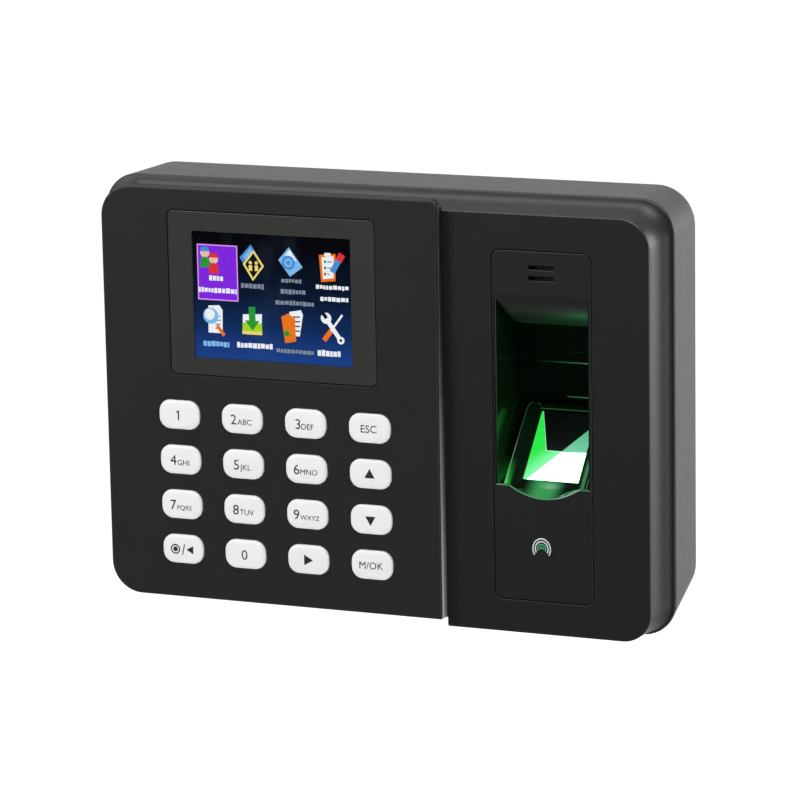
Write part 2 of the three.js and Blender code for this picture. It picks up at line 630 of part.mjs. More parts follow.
rearHousing();
portPlate();
frontHousing();
keypadPanel();
stepTrim();
display();
keys();
keypadLayers();
fingerBezel();
fingerGuide();
sensor();
speaker();
electronics();
sockets();
ribbons();
caseScrews();
wallPlate();
lockScrew();

export default group;
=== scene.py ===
"""Looks of the fingerprint scanner terminal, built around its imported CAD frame.

Shapes are made in millimetres and placed in metres. +X is to the right seen from the front,
+Y goes into the wall and +Z is up, so the front faces -Y.
"""

import json
import random
from math import acos, cos, degrees, hypot, pi, radians, sin, sqrt, tau
from types import SimpleNamespace

import bmesh
import bpy
from mathutils import Matrix, Vector

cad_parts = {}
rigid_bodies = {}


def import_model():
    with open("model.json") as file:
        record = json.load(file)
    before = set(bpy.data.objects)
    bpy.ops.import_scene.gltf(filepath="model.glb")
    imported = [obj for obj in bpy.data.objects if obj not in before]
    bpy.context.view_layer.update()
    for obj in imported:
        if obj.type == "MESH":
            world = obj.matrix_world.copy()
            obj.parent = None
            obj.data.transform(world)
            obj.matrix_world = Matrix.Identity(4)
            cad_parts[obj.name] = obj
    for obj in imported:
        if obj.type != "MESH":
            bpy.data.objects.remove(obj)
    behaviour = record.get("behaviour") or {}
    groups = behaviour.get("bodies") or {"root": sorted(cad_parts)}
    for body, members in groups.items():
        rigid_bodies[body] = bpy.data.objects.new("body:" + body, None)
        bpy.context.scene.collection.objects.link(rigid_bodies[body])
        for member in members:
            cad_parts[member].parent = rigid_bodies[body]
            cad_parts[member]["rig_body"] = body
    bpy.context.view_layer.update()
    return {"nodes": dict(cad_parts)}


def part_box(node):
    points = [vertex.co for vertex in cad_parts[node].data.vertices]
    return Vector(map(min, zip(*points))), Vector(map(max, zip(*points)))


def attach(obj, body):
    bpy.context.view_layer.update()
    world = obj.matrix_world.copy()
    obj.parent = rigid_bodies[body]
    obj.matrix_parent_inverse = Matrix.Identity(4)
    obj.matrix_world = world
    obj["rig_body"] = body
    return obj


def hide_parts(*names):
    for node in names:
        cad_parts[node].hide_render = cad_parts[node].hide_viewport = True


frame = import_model()

MM = 0.001
SEED = 11


def box_of(node):
    """A CAD node's box in millimetres, with its middle."""
    lo, hi = (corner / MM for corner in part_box(node))
    mid = (lo + hi) / 2
    sides = {"x0": lo.x, "x1": hi.x, "y0": lo.y, "y1": hi.y, "z0": lo.z, "z1": hi.z}
    return SimpleNamespace(**sides, x=mid.x, y=mid.y, z=mid.z)


# ---- places taken from the frame ----
rear = box_of("rear_housing")
panel = box_of("keypad_panel")
window = box_of("display_window")
screen = box_of("display_panel")
bezel = box_of("finger_bezel")
prism = box_of("finger_prism")
step = box_of("step_trim")

# ---- sizes of the moulded case, in millimetres ----
WALL = 2.2
ARC = 12                    # steps of a large corner
SMALL_ARC = 6
ROUND = 5                   # steps of a rounded edge
RIM_RADIUS = 12.0
BACK_RADIUS = 13.0
SIDE_RADIUS = 10.0
PANEL_RADIUS = 11.0
RIM_Y = rear.y0             # parting plane
FACE_Y = bezel.y0           # face of the finger side
STEP_X = step.x1 + 0.05     # where the finger side starts
EDGE = 0.8                  # rounding of the keypad panel's front edge


# ---- outlines and solids ----
def rect(x0, x1, z0, z1, radius):
    """A rectangle with one corner radius or four, from the top right corner anticlockwise."""
    radii = list(radius) if isinstance(radius, (list, tuple)) else [radius] * 4
    return SimpleNamespace(x0=x0, x1=x1, z0=z0, z1=z1, radius=radii)


def grow(shape, by):
    radii = [max(r + by, 0.12) for r in shape.radius]
    return rect(shape.x0 - by, shape.x1 + by, shape.z0 - by, shape.z1 + by, radii)


def outline(shape, y, arc=ARC):
    """Points round a rounded rectangle at depth y, from the top right corner anticlockwise."""
    corners = ((shape.x1, shape.z1), (shape.x0, shape.z1), (shape.x0, shape.z0), (shape.x1, shape.z0))
    points = []
    for quarter, (r, (x, z)) in enumerate(zip(shape.radius, corners)):
        x += -r if x == shape.x1 else r
        z += -r if z == shape.z1 else r
        for k in range(arc + 1):
            a = radians(90 * quarter + 90 * k / arc)
            points.append(Vector((x + r * cos(a), y, z + r * sin(a))))
    return points


def circle(x, y, z, radius, sides=32):
    turns = [tau * k / sides for k in range(sides)]
    return [Vector((x + radius * cos(a), y, z + radius * sin(a))) for a in turns]


def rounded_edge(shape, y, radius, direction=1, steps=ROUND, arc=ARC):
    """Outlines of a quarter-round edge: from the face at y, inset, to the full outline behind it."""
    rings = []
    for k in range(steps + 1):
        a = radians(90 * k / steps)
        inset = radius * (1 - sin(a))
        depth = radius * (1 - cos(a))
        rings.append(outline(grow(shape, -inset), y + direction * depth, arc))
    return rings


def bridge(bm, a, b):
    for i in range(len(a)):
        j = (i + 1) % len(a)
        bm.faces.new((a[i], b[i], b[j], a[j]))


def strip(bm, rings):
    """Vertex rings joined one after the other; gives the rings back."""
    rows = [[bm.verts.new(p) for p in ring] for ring in rings]
    for a, b in zip(rows, rows[1:]):
        bridge(bm, a, b)
    return rows


def fill(bm, rows):
    """A flat face between an outer vertex ring and the rings of its holes."""
    if len(rows) == 1:
        bm.faces.new(rows[0])
        return
    edges = []
    for row in rows:
        for i in range(len(row)):
            a, b = row[i], row[(i + 1) % len(row)]
            edges.append(bm.edges.get((a, b)) or bm.edges.new((a, b)))
    bmesh.ops.triangle_fill(bm, use_beauty=True, edges=edges)


def plate(bm, outer, inner, holes=()):
    """A shell: outer rings from its face to its rim, inner rings from the rim back to the inside
    face, and holes whose rings go from the face to the inside face."""
    skin = strip(bm, list(outer) + list(inner))
    cuts = [strip(bm, hole) for hole in holes]
    fill(bm, [skin[0]] + [cut[0] for cut in cuts])
    fill(bm, [skin[-1]] + [cut[-1] for cut in cuts])


def solid(bm, rings):
    rows = strip(bm, rings)
    fill(bm, [rows[0]])
    fill(bm, [rows[-1]])


def slab(bm, near, far, index=0):
    """A flat piece between two matching outlines, whose faces take a material index."""
    near, far = ([bm.verts.new(p) for p in ring] for ring in (near, far))
    faces = [bm.faces.new(near), bm.faces.new(far[::-1])]
    for i in range(len(near)):
        j = (i + 1) % len(near)
        faces.append(bm.faces.new((near[j], near[i], far[i], far[j])))
    for face in faces:
        face.material_index = index


def placed(name, data):
    thing = bpy.data.objects.new(name, data)
    bpy.context.scene.collection.objects.link(thing)
    return thing


def crisp_flats(mesh):
    """Keeps a rounded edge from bending the normals of the flat face beside it."""
    bm = bmesh.new()
    bm.from_mesh(mesh)
    for edge in bm.edges:
        flats = [max(abs(c) for c in face.normal) > 0.99999 for face in edge.link_faces]
        if len(flats) == 2 and flats[0] != flats[1]:
            edge.smooth = False
    bm.to_mesh(mesh)
    bm.free()


def shade(mesh, sharp=32, crisp=True):
    mesh.shade_smooth()
    mesh.set_sharp_from_angle(angle=radians(sharp))
    if crisp:
        crisp_flats(mesh)


def as_object(name, bm, sharp=32, crisp=False):
    bmesh.ops.recalc_face_normals(bm, faces=bm.faces)
    bm.transform(Matrix.Scale(MM, 4))
    mesh = bpy.data.meshes.new(name)
    bm.to_mesh(mesh)
    bm.free()
    shade(mesh, sharp, crisp)
    return placed(name, mesh)


def finish_piece(piece, slot, replaces=(), finishes=None, body="terminal"):
    """Gives a piece its materials (the slot's own one when no finishes are given) and its body, and hides the
    CAD nodes that it stands for.
    """
    for finish in finishes or (slot,):
        piece.data.materials.append(material(finish))
    piece.modifiers.new("weighted normals", "WEIGHTED_NORMAL").keep_sharp = True
    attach(piece, body)
    if replaces:
        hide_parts(*replaces)


def cut(piece, cutters):
    """Cuts closed shapes out of a piece and keeps the result as its mesh."""
    for cutter in cutters:
        modifier = piece.modifiers.new("cut", "BOOLEAN")
        modifier.object = cutter
        modifier.operation = "DIFFERENCE"
        modifier.solver = "EXACT"
    bpy.context.view_layer.update()
    evaluated = piece.evaluated_get(bpy.context.evaluated_depsgraph_get())
    mesh = bpy.data.meshes.new_from_object(evaluated)
    mesh.name = piece.name
    piece.modifiers.clear()
    piece.data = mesh
    for cutter in cutters:
        bpy.data.objects.remove(cutter)
    shade(mesh)


def swap_yz(points):
    return [Vector((p.x, p.z, p.y)) for p in points]


def cutter_z(shape, z0, z1, arc=SMALL_ARC):
    """A cutter along Z. The shape's z values are depths along Y here."""
    bm = bmesh.new()
    solid(bm, [swap_yz(outline(shape, z0, arc)), swap_yz(outline(shape, z1, arc))])
    return as_object("cutter", bm)


# ---- materials ----
made = {}


class Shader:
    """A material's node tree, with short calls to add nodes."""

    def __init__(self, name):
        self.material = bpy.data.materials.new(name)
        self.material.use_nodes = True
        self.tree = self.material.node_tree
        self.surface = self.tree.nodes["Principled BSDF"]
        self.where = self.add("ShaderNodeTexCoord").outputs["Object"]

    def add(self, kind, settings=None, **inputs):
        node = self.tree.nodes.new(kind)
        for key, value in (settings or {}).items():
            setattr(node, key, value)
        for key, value in inputs.items():
            self.put(node, key.replace("_", " "), value)
        return node

    def put(self, node, key, value):
        socket = node.inputs[int(key)] if key.isdigit() else node.inputs[key]
        if isinstance(value, bpy.types.NodeSocket):
            self.tree.links.new(value, socket)
        else:
            socket.default_value = value

    def set(self, **inputs):
        for key, value in inputs.items():
            self.put(self.surface, key.replace("_", " "), value)

    def pair(self, kind, settings, *values):
        """A node whose unnamed inputs take values in order."""
        node = self.add(kind, settings)
        for index, value in enumerate(values):
            self.put(node, str(index), value)
        return node

    def noise(self, size, detail=4.0, stretch=None, rough=0.55):
        """Noise whose blotches are about size metres across."""
        where = self.where
        if stretch:
            where = self.add("ShaderNodeMapping", Vector=where, Scale=stretch).outputs["Vector"]
        node = self.add("ShaderNodeTexNoise", Vector=where, Scale=1 / size, Detail=detail, Roughness=rough)
        return node.outputs["Fac"]

    def span(self, value, low, high, to_low, to_high, kind="SMOOTHSTEP"):
        node = self.add("ShaderNodeMapRange", {"interpolation_type": kind}, Value=value,
                        From_Min=low, From_Max=high, To_Min=to_low, To_Max=to_high)
        return node.outputs["Result"]

    def uneven(self, size, detail, low, high):
        return self.span(self.noise(size, detail), 0.3, 0.7, low, high)

    def ramp(self, value, stops):
        node = self.add("ShaderNodeValToRGB", Fac=value)
        elements = node.color_ramp.elements
        while len(elements) < len(stops):
            elements.new(0.5)
        for element, (place, color) in zip(elements, stops):
            element.position = place
            element.color = (*color, 1)
        return node.outputs["Color"]

    def mottle(self, size, detail, low, high, edge=0.3):
        return self.ramp(self.noise(size, detail), [(edge, low), (1 - edge, high)])

    def axis(self, index):
        return self.add("ShaderNodeSeparateXYZ", Vector=self.where).outputs[index]

    def bump(self, height, distance):
        return self.add("ShaderNodeBump", Height=height, Distance=distance, Strength=1.0).outputs["Normal"]


def varied(color, by):
    return [tuple(max(c * (1 + k * by), 0) for c in color) for k in (-1, 1)]


# slot or finish: colour, roughness, metalness, grain size in metres, grain height, mottling
PLAIN = {
    "case_plastic": ((0.0082, 0.0082, 0.0082), 0.46, 0, 0.00042, 0.000012, 0.035),
    # bezel_plastic: its dark green tint is painted green light from the sensor
    "bezel_plastic": ((0.003, 0.017, 0.0055), 0.14, 0, 0.0012, 0.0000008, 0.1),
    "window": ((0.027, 0.027, 0.0255), 0.3, 0, 0.0006, 0.000001, 0.05),
    "frame_white": ((0.72, 0.72, 0.69), 0.55, 0, 0.0005, 0.00001, 0.04),
    "key_plastic": ((0.67, 0.67, 0.66), 0.38, 0, 0.00035, 0.000004, 0.02),
    "mat_rubber": ((0.22, 0.23, 0.24), 0.7, 0, 0.0003, 0.00001, 0.08),
    "inner_black": ((0.02, 0.02, 0.021), 0.5, 0, 0.0003, 0.00001, 0.15),
    "ink": ((0.016, 0.016, 0.018), 0.45, 0, 0.0002, 0.000001, 0.1),
    "mark_pale": ((0.5, 0.52, 0.53), 0.4, 0, 0.0002, 0.000001, 0.06),
    "mark_green": ((0.04, 0.36, 0.12), 0.4, 0, 0.0002, 0.000001, 0.06),
    "cell_metal": ((0.66, 0.66, 0.66), 0.18, 1, 0.0004, 0.000002, 0.05),
    "contact_gold": ((0.83, 0.57, 0.2), 0.25, 1, 0.0003, 0.000002, 0.05),
    "ribbon": ((0.42, 0.19, 0.035), 0.38, 0, 0.0008, 0.000004, 0.1),
    "unlit": ((0.006, 0.009, 0.007), 0.12, 0, 0.001, 0.000001, 0.2),
}
BRUSHED = {
    "sheet_steel": ((0.56, 0.57, 0.58), 0.3, (1, 1, 14)),
    "plate_steel": ((0.34, 0.345, 0.35), 0.36, (14, 1, 1)),
    "screw_steel": ((0.42, 0.43, 0.44), 0.33, (3, 3, 3)),
}


def moulded(name, like=None, color=None, **settings):
    """Plastic, rubber, ink or bright metal: mottled colour, uneven gloss and a fine grain."""
    base, rough, metal, grain, height, mottle = PLAIN[like or name]
    s = Shader(name)
    s.set(Base_Color=s.mottle(grain * 30, 3, *varied(color or base, mottle)), Metallic=float(metal))
    s.set(Roughness=s.uneven(grain * 12, 5, rough * (1 - mottle), rough * (1 + mottle)))
    s.set(Normal=s.bump(s.noise(grain, 6, rough=0.7), height), **settings)
    return s


def panel_finish():
    """The keypad panel's plastic: satin on its face and dull on its sides."""
    s = moulded("panel_plastic", "case_plastic", (0.0132, 0.0132, 0.0134), Specular_IOR_Level=0.3)
    s.set(Roughness=s.span(s.axis(1), (panel.y0 + 0.6) * MM, (panel.y0 + 1.6) * MM, 0.46, 0.95))
    return s


def guide_finish():
    """The guide's gloss, with painted green light on the outer foot of its left wing and a dark green tint in
    its colour that is painted light too.
    """
    s = moulded("guide_plastic", "bezel_plastic", (0.003, 0.012, 0.005), Specular_IOR_Level=0.08)
    side = s.span(s.axis(0), 0.0452, 0.0476, 0.75, 0.0)
    foot = s.span(s.axis(2), -0.026, -0.015, 1.0, 0.0)
    painted_glow = s.pair("ShaderNodeMath", {"operation": "MULTIPLY"}, side, foot)
    s.set(Emission_Color=(0.05, 1.0, 0.12, 1), Emission_Strength=painted_glow.outputs[0])
    return s


def bay_finish():
    """The bay's own walls, duller and darker than the face, with a dark green tint in their colour that is
    painted green light from the sensor.
    """
    return moulded("bay_plastic", "bezel_plastic", (0.0018, 0.0085, 0.003), Specular_IOR_Level=0.16,
                   Roughness=0.24)


def hood_finish():
    """The roll above the finger: satin like the face, with painted green light along its lower side."""
    s = moulded("hood_plastic", "case_plastic", Emission_Color=(0.2, 1.0, 0.3, 1))
    # painted green light, strongest at the roll's lower edge and gone 6 mm above it
    s.set(Emission_Strength=s.span(s.axis(2), 0.0275, 0.0335, 0.016, 0.0))
    return s


def apron_finish():
    """The apron below the glass, with a painted green reflection in its middle and a slight green tint in its
    colour that is painted light too.
    """
    s = moulded("apron_gloss", "bezel_plastic", (0.003, 0.008, 0.004), Specular_IOR_Level=0.2)
    # painted green reflection, strongest in the middle and gone 7.5 mm to either side
    offset = s.pair("ShaderNodeMath", {"operation": "SUBTRACT"}, s.axis(0), (platen.x - 1.2) * MM)
    away = s.pair("ShaderNodeMath", {"operation": "ABSOLUTE"}, offset.outputs[0])
    strength = s.span(away.outputs[0], 0.0015, 0.0075, 0.3, 0.0)
    s.set(Emission_Color=(0.14, 1.0, 0.28, 1), Emission_Strength=strength)
    return s


def brushed(name):
    color, rough, stretch = BRUSHED[name]
    s = Shader(name)
    lines = s.noise(0.002, 6, stretch, 0.7)
    s.set(Base_Color=s.mottle(0.03, 3, *varied(color, 0.12), 0.35), Metallic=1.0)
    s.set(Roughness=s.span(lines, 0.3, 0.7, rough * 0.75, rough * 1.3), Normal=s.bump(lines, 0.00001))
    return s


def step_finish():
    """The satin step strip with a painted highlight, pale at its foot and dark at its upper end, and painted
    shade on its back part.
    """
    s = Shader("step_trim")
    height = s.span(s.axis(2), step.z0 * MM, step.z1 * MM, 0.0, 1.0)
    # painted highlight: greys from the pale foot up to the dark upper end
    highlight_greys = ((0.0, 0.24), (0.1, 0.2), (0.2, 0.16), (0.42, 0.11), (0.6, 0.056), (0.8, 0.028), (1.0, 0.02))
    # painted shade: the strip's back part is darkened to 0.3 of its front
    shade_mix = s.add("ShaderNodeMix", {"data_type": "RGBA", "blend_type": "MULTIPLY"})
    s.put(shade_mix, "0", s.span(s.axis(1), (step.y0 + 0.4) * MM, (step.y1 - 0.6) * MM, 0.0, 1.0))
    s.put(shade_mix, "6", s.ramp(height, [(place, (grey, grey, grey)) for place, grey in highlight_greys]))
    s.put(shade_mix, "7", (0.3, 0.3, 0.3, 1))
    s.set(Base_Color=shade_mix.outputs[2], Roughness=s.uneven(0.004, 4, 0.26, 0.36))
    s.set(Normal=s.bump(s.noise(0.0005, 5), 0.000004))
    return s


def board_finish():
    """Solder mask over a faint pattern of tracks."""
    s = Shader("board")
    tracks = s.add("ShaderNodeTexBrick", Vector=s.where, Scale=260.0, Color1=(0.012, 0.1, 0.04, 1),
                   Color2=(0.015, 0.12, 0.05, 1), Mortar=(0.03, 0.2, 0.085, 1), Mortar_Size=0.03)
    s.set(Base_Color=tracks.outputs["Color"], Roughness=s.uneven(0.006, 4, 0.28, 0.45))
    s.set(Normal=s.bump(tracks.outputs["Fac"], 0.00002))
    return s


def glass_finish():
    s = Shader("prism_glass")
    s.set(Base_Color=s.mottle(0.01, 3, (0.62, 0.95, 0.72), (0.74, 1.0, 0.82)))
    s.set(Roughness=s.uneven(0.004, 4, 0.02, 0.06), Transmission_Weight=0.9, IOR=1.52)
    return s


def glow(name):
    """A surface glowing with painted light, whose colour changes along a direction."""
    low, high, place, direction, reach = GLOWS[name]
    s = Shader(name)
    offset = s.pair("ShaderNodeVectorMath", {"operation": "SUBTRACT"}, s.where, place * MM)
    along = s.pair("ShaderNodeVectorMath", {"operation": "DOT_PRODUCT"}, offset.outputs["Vector"], direction)
    ramp = s.ramp(s.span(along.outputs["Value"], 0, reach, 0, 1), [(0.0, low), (1.0, high)])
    s.set(Base_Color=(0.01, 0.02, 0.012, 1), Emission_Color=ramp)
    s.set(Emission_Strength=s.span(s.noise(0.003, 4), 0.2, 0.8, 0.95, 1.05))
    s.set(Roughness=s.uneven(0.002, 3, 0.08, 0.14))
    return s


def lit(name):
    """A lit patch of the display, with a faint pixel grid."""
    s = Shader("lit_" + name)
    s.set(Base_Color=(0.001, 0.001, 0.002, 1), Specular_IOR_Level=0.12)
    s.set(Emission_Color=s.mottle(0.0012, 3, *varied(LIT_COLORS[name], 0.07), 0.35))
    s.set(Emission_Strength=s.span(s.noise(0.00025, 1), 0.35, 0.65, 0.97, 1.03))
    s.set(Roughness=s.uneven(0.001, 3, 0.2, 0.3))
    return s


def sky_finish():
    """The display's backdrop: black above, deep blue below, with a faint haze of light."""
    s = Shader("screen")
    height = s.span(s.axis(2), LCD.z0 * MM, LCD.z1 * MM, 0.0, 1.0, "LINEAR")
    stops = ((0.0, (0.01, 0.05, 0.24)), (0.1, (0.009, 0.038, 0.19)), (0.26, (0.004, 0.022, 0.095)),
             (0.5, (0.002, 0.0075, 0.028)), (0.7, (0.001, 0.004, 0.011)), (0.88, (0.0002, 0.0004, 0.0016)),
             (1.0, (0.0001, 0.0002, 0.001)))
    mix = s.add("ShaderNodeMix", {"data_type": "RGBA", "blend_type": "SCREEN"})
    s.put(mix, "0", s.span(s.noise(0.012, 5, (1, 1, 0.5)), 0.5, 0.75, 0.0, 0.12))
    s.put(mix, "6", s.ramp(height, stops))
    s.put(mix, "7", (0.05, 0.08, 0.12, 1))
    s.set(Base_Color=(0.001, 0.001, 0.002, 1), Emission_Color=mix.outputs[2], Emission_Strength=1.0)
    s.set(Specular_IOR_Level=0.12, Roughness=s.uneven(0.001, 3, 0.2, 0.3))
    return s


LCD = SimpleNamespace(x0=-63.9, x1=-6.3, z0=14.15, z1=57.35, y=window.y0 + 0.7)
LIT_COLORS = {
    "white": (0.83, 0.86, 0.9),
    "grey": (0.2, 0.24, 0.3),
    "purple": (0.2, 0.02, 0.7),
    "pink": (0.75, 0.3, 0.85),
    "blue": (0.06, 0.26, 0.65),
    "pale_blue": (0.2, 0.47, 0.8),
    "green": (0.02, 0.3, 0.03),
    "lime": (0.36, 0.62, 0.02),
    "yellow": (0.78, 0.66, 0.16),
    "orange": (0.8, 0.17, 0.01),
    "red": (0.7, 0.03, 0.03),
    "skin": (0.8, 0.5, 0.36),
    "black": (0.004, 0.005, 0.01),
}


def material(name):
    if name not in made:
        if name in SPECIAL:
            made[name] = SPECIAL[name]()
        else:
            kinds = ((PLAIN, moulded), (BRUSHED, brushed), (LIT_COLORS, lit), (GLOWS, glow))
            made[name] = next(make(name) for table, make in kinds if name in table)
    return made[name].material


# ---- case ----
rim = rect(rear.x0, rear.x1, rear.z0, -rear.z0, RIM_RADIUS)
back = rect(-100.7, 100.7, rear.z0 + 5.8, rear.z1, BACK_RADIUS)
SCREW_X = 92.0
SCREW_Z = (61.0, -57.0)
plate_box = box_of("wall_plate")
HOOK = SimpleNamespace(x=48.0, z=(30.0, -40.0), half=5.6, top=1.8, drop=6.3)
TAB = SimpleNamespace(half=6.6, top=plate_box.z0 + 1.5 + 0.3, drop=8.1)
SEAM = 0.12                 # width of the visible seam between two mouldings


def screw_post(x, z):
    """A screw recess in the back that leads to the bore of its post."""
    y = rear.y1
    sizes = ((2.9, y), (2.9, y - 3), (1.75, y - 3), (1.75, RIM_Y + 0.4), (3.4, RIM_Y + 0.4), (3.4, y - WALL))
    return [circle(x, depth, z, radius) for radius, depth in sizes]


def slot_through(shape, y0, y1, ease=0.25, arc=SMALL_ARC):
    """A hole with an eased edge on its y0 side."""
    sign = 1 if y1 > y0 else -1
    rings = []
    for k in range(4):
        a = radians(30 * k)
        rings.append(outline(grow(shape, ease * (1 - sin(a))), y0 + sign * ease * (1 - cos(a)), arc))
    return rings + [outline(shape, y1, arc)]


def rear_shell():
    bm = bmesh.new()
    outer = rounded_edge(back, rear.y1, 1.6, -1)
    outer += rounded_edge(rim, RIM_Y, 0.12, 1)[::-1]
    inner = [outline(grow(rim, -WALL), RIM_Y), outline(grow(back, -WALL), rear.y1 - WALL)]
    holes = [screw_post(side * SCREW_X, z) for side in (-1, 1) for z in SCREW_Z]
    for side in (-1, 1):
        for z in HOOK.z:
            x = side * HOOK.x
            hole = rect(x - HOOK.half, x + HOOK.half, z - HOOK.drop, z + HOOK.top, 0.8)
            holes.append(slot_through(hole, rear.y1, rear.y1 - WALL))
    tab = rect(-TAB.half, TAB.half, TAB.top - TAB.drop, TAB.top, 0.8)
    holes.append(slot_through(tab, rear.y1, rear.y1 - WALL))
    plate(bm, outer, inner, holes)
    piece = as_object("rear_shell", bm)
    ports = box_of("port_plate")
    seat = rect(ports.x0 - SEAM, ports.x1 + SEAM, ports.y0 - 1, ports.y1 + SEAM, 0.2)
    lock = box_of("lock_screw")
    cut(piece, [cutter_z(seat, -90, -60), cutter_z(rect(-2, 2, lock.y - 2, lock.y + 2, 2), -90, -60)])
    finish_piece(piece, "case_plastic", ["rear_housing"])


side_face = rect(STEP_X, 97.06, rear.z0, 68.2, (SIDE_RADIUS, 0.03, 0.3, SIDE_RADIUS))
COVE_SWEEP = 76.0
COVE_STEPS = 14
LIP = 0.9                   # rounding of the case's widest edge
TIP = 2.4                   # radius of the keypad panel's upper right corner


def blend(a, b, share):
    mix = {k: getattr(a, k) + (getattr(b, k) - getattr(a, k)) * share for k in ("x0", "x1", "z0", "z1")}
    radii = [p + (q - p) * share for p, q in zip(a.radius, b.radius)]
    return rect(radius=radii, **mix)


def cove_rings(start, lip, end):
    """The hollow bevel from the level of the faces out to the rounded lip at the parting line."""
    foot = RIM_Y - SEAM
    sweep = radians(COVE_SWEEP)
    top = FACE_Y + 0.25
    rings = []
    for k in range(COVE_STEPS + 1):
        a = sweep * k / COVE_STEPS
        share = (1 - cos(a)) / (1 - cos(sweep))
        rings.append(outline(blend(start, lip, share), top + (foot - LIP - top) * sin(a) / sin(sweep)))
    for k in range(1, ROUND + 1):
        a = radians(90 * k / ROUND)
        rings.append(outline(blend(lip, end, sin(a)), foot - LIP * cos(a)))
    return rings


def front_shell():
    """The finger side: a flat face, the hollow bevel round it and the lip at the parting line."""
    bm = bmesh.new()
    end = rect(STEP_X, rim.x1, rim.z0, rim.z1, (RIM_RADIUS, 0.03, 0.3, RIM_RADIUS))
    lip = rect(STEP_X, rim.x1 - LIP, rim.z0 + LIP, rim.z1 - LIP,
               (RIM_RADIUS - LIP, 0.03, 0.3, RIM_RADIUS - LIP))
    face = rect(side_face.x0, side_face.x1 - 0.25, side_face.z0 + 0.6, side_face.z1 - 0.25, side_face.radius)
    outer = [outline(face, FACE_Y)] + cove_rings(side_face, lip, end)
    hollow = rect(STEP_X + WALL, rim.x1 - 5, rim.z0 + 5, rim.z1 - 5, (8, 1, 1, 8))
    inside = rect(STEP_X + WALL, side_face.x1 - WALL, side_face.z0 + 2 * WALL, side_face.z1 - WALL,
                  (8, 1, 1, 8))
    inner = [outline(hollow, RIM_Y - SEAM), outline(inside, FACE_Y + WALL)]
    seat = rect(bezel.x0 - 0.3, bezel.x1 + 0.3, bezel.z0 - 0.3, bezel.z1 + 0.3, 3.3)
    plate(bm, outer, inner, [slot_through(seat, FACE_Y, FACE_Y + WALL, 0.2)])
    piece = as_object("front_shell", bm, crisp=True)
    finish_piece(piece, "case_plastic", ["front_housing"])


def key_boxes():
    return {name: box_of(name)
            for name in frame["nodes"] if name.startswith("key_") and name not in ("key_mat",)}


KEY_LIP = 1.2               # how far each key's retaining lip stands out behind the panel
KEY_RADIUS = 4.0


def key_shape(b, by=0.0):
    return grow(rect(b.x0 + KEY_LIP, b.x1 - KEY_LIP, b.z0 + KEY_LIP, b.z1 - KEY_LIP, KEY_RADIUS), by)


def keypad_shell():
    """The raised keypad panel: a slab with rounded corners, in front of the hollow bevel of the case."""
    bm = bmesh.new()
    x1 = STEP_X - 0.01
    face = rect(-97.7, panel.x1, -70.55, 72, (TIP, PANEL_RADIUS, PANEL_RADIUS, 0.4))
    root = rect(-94, x1, -70.55, side_face.z1, (0.03, SIDE_RADIUS, SIDE_RADIUS, 0.4))
    lip = rect(rim.x0 + LIP, x1, rim.z0 + LIP, rim.z1 - LIP, (0.03, RIM_RADIUS - LIP, RIM_RADIUS - LIP, 0.4))
    end = rect(rim.x0, x1, rim.z0, rim.z1, (0.03, RIM_RADIUS, RIM_RADIUS, 0.4))
    outer = rounded_edge(face, panel.y0, EDGE) + [outline(face, FACE_Y - 0.2),
                                                  outline(grow(face, -0.3), FACE_Y)]
    outer += cove_rings(root, lip, end)
    inside = rect(root.x0 + WALL, panel.x1 - WALL, root.z0 + WALL, root.z1 - WALL, (0.4, 8, 8, 0.4))
    hollow = rect(rim.x0 + 6, panel.x1 - WALL, rim.z0 + 5, rim.z1 - 6, (0.4, 8, 8, 0.4))
    inner = [outline(hollow, RIM_Y - SEAM), outline(inside, FACE_Y + WALL), outline(inside, panel.y0 + WALL)]
    sill = rect(window.x0 - 0.32, window.x1 + 0.32, window.z0 - 0.32, window.z1 + 0.32, 2.1)
    opening = slot_through(sill, panel.y0, window.y1 + 0.1, 0.15)
    opening += [outline(grow(sill, -3), window.y1 + 0.1, SMALL_ARC),
                outline(grow(sill, -3), panel.y0 + WALL, SMALL_ARC)]
    holes = [opening]
    for b in key_boxes().values():
        holes.append(slot_through(key_shape(b, 0.3), panel.y0, panel.y0 + WALL, 0.25))
    plate(bm, outer, inner, holes)
    piece = as_object("keypad_shell", bm, crisp=True)
    for face in piece.data.polygons:
        face.material_index = int(face.center.y / MM > FACE_Y + 0.1)
    finish_piece(piece, "case_plastic", ["keypad_panel"], ("panel_plastic", "case_plastic"))


def step_strip():
    """The slim strip along the step between the two faces."""
    bm = bmesh.new()
    top = 72 - TIP
    rings = []
    middle = [(step.z0 + 0.2 + (top - step.z0 - 0.2) * k / 24, 0) for k in range(25)]
    for z, inset in [(step.z0, 0.2)] + middle + [(top + 0.5, 0.35)]:
        section = outline(grow(rect(step.x0, step.x1, step.y0, step.y1, 0.2), -inset), 0, 3)
        rings.append([Vector((p.x, p.z, z)) for p in section])
    solid(bm, rings)
    piece = as_object("step_strip", bm, crisp=True)
    finish_piece(piece, "step_trim", ["step_trim"])


# ---- display ----
def window_border():
    """The smoked window's printed border, with the lit area left open."""
    bm = bmesh.new()
    edge = rect(window.x0, window.x1, window.z0, window.z1, 1.85)
    hole = rect(LCD.x0 - 0.15, LCD.x1 + 0.15, LCD.z0 - 0.15, LCD.z1 + 0.15, 0.2)
    outer = rounded_edge(edge, window.y0, 0.25, 1, 3, SMALL_ARC)
    inner = [outline(edge, window.y1, SMALL_ARC)]
    plate(bm, outer, inner, [[outline(hole, window.y0, 1), outline(hole, window.y1, 1)]])
    piece = as_object("window_border", bm, crisp=True)
    finish_piece(piece, "window", ["display_window"])


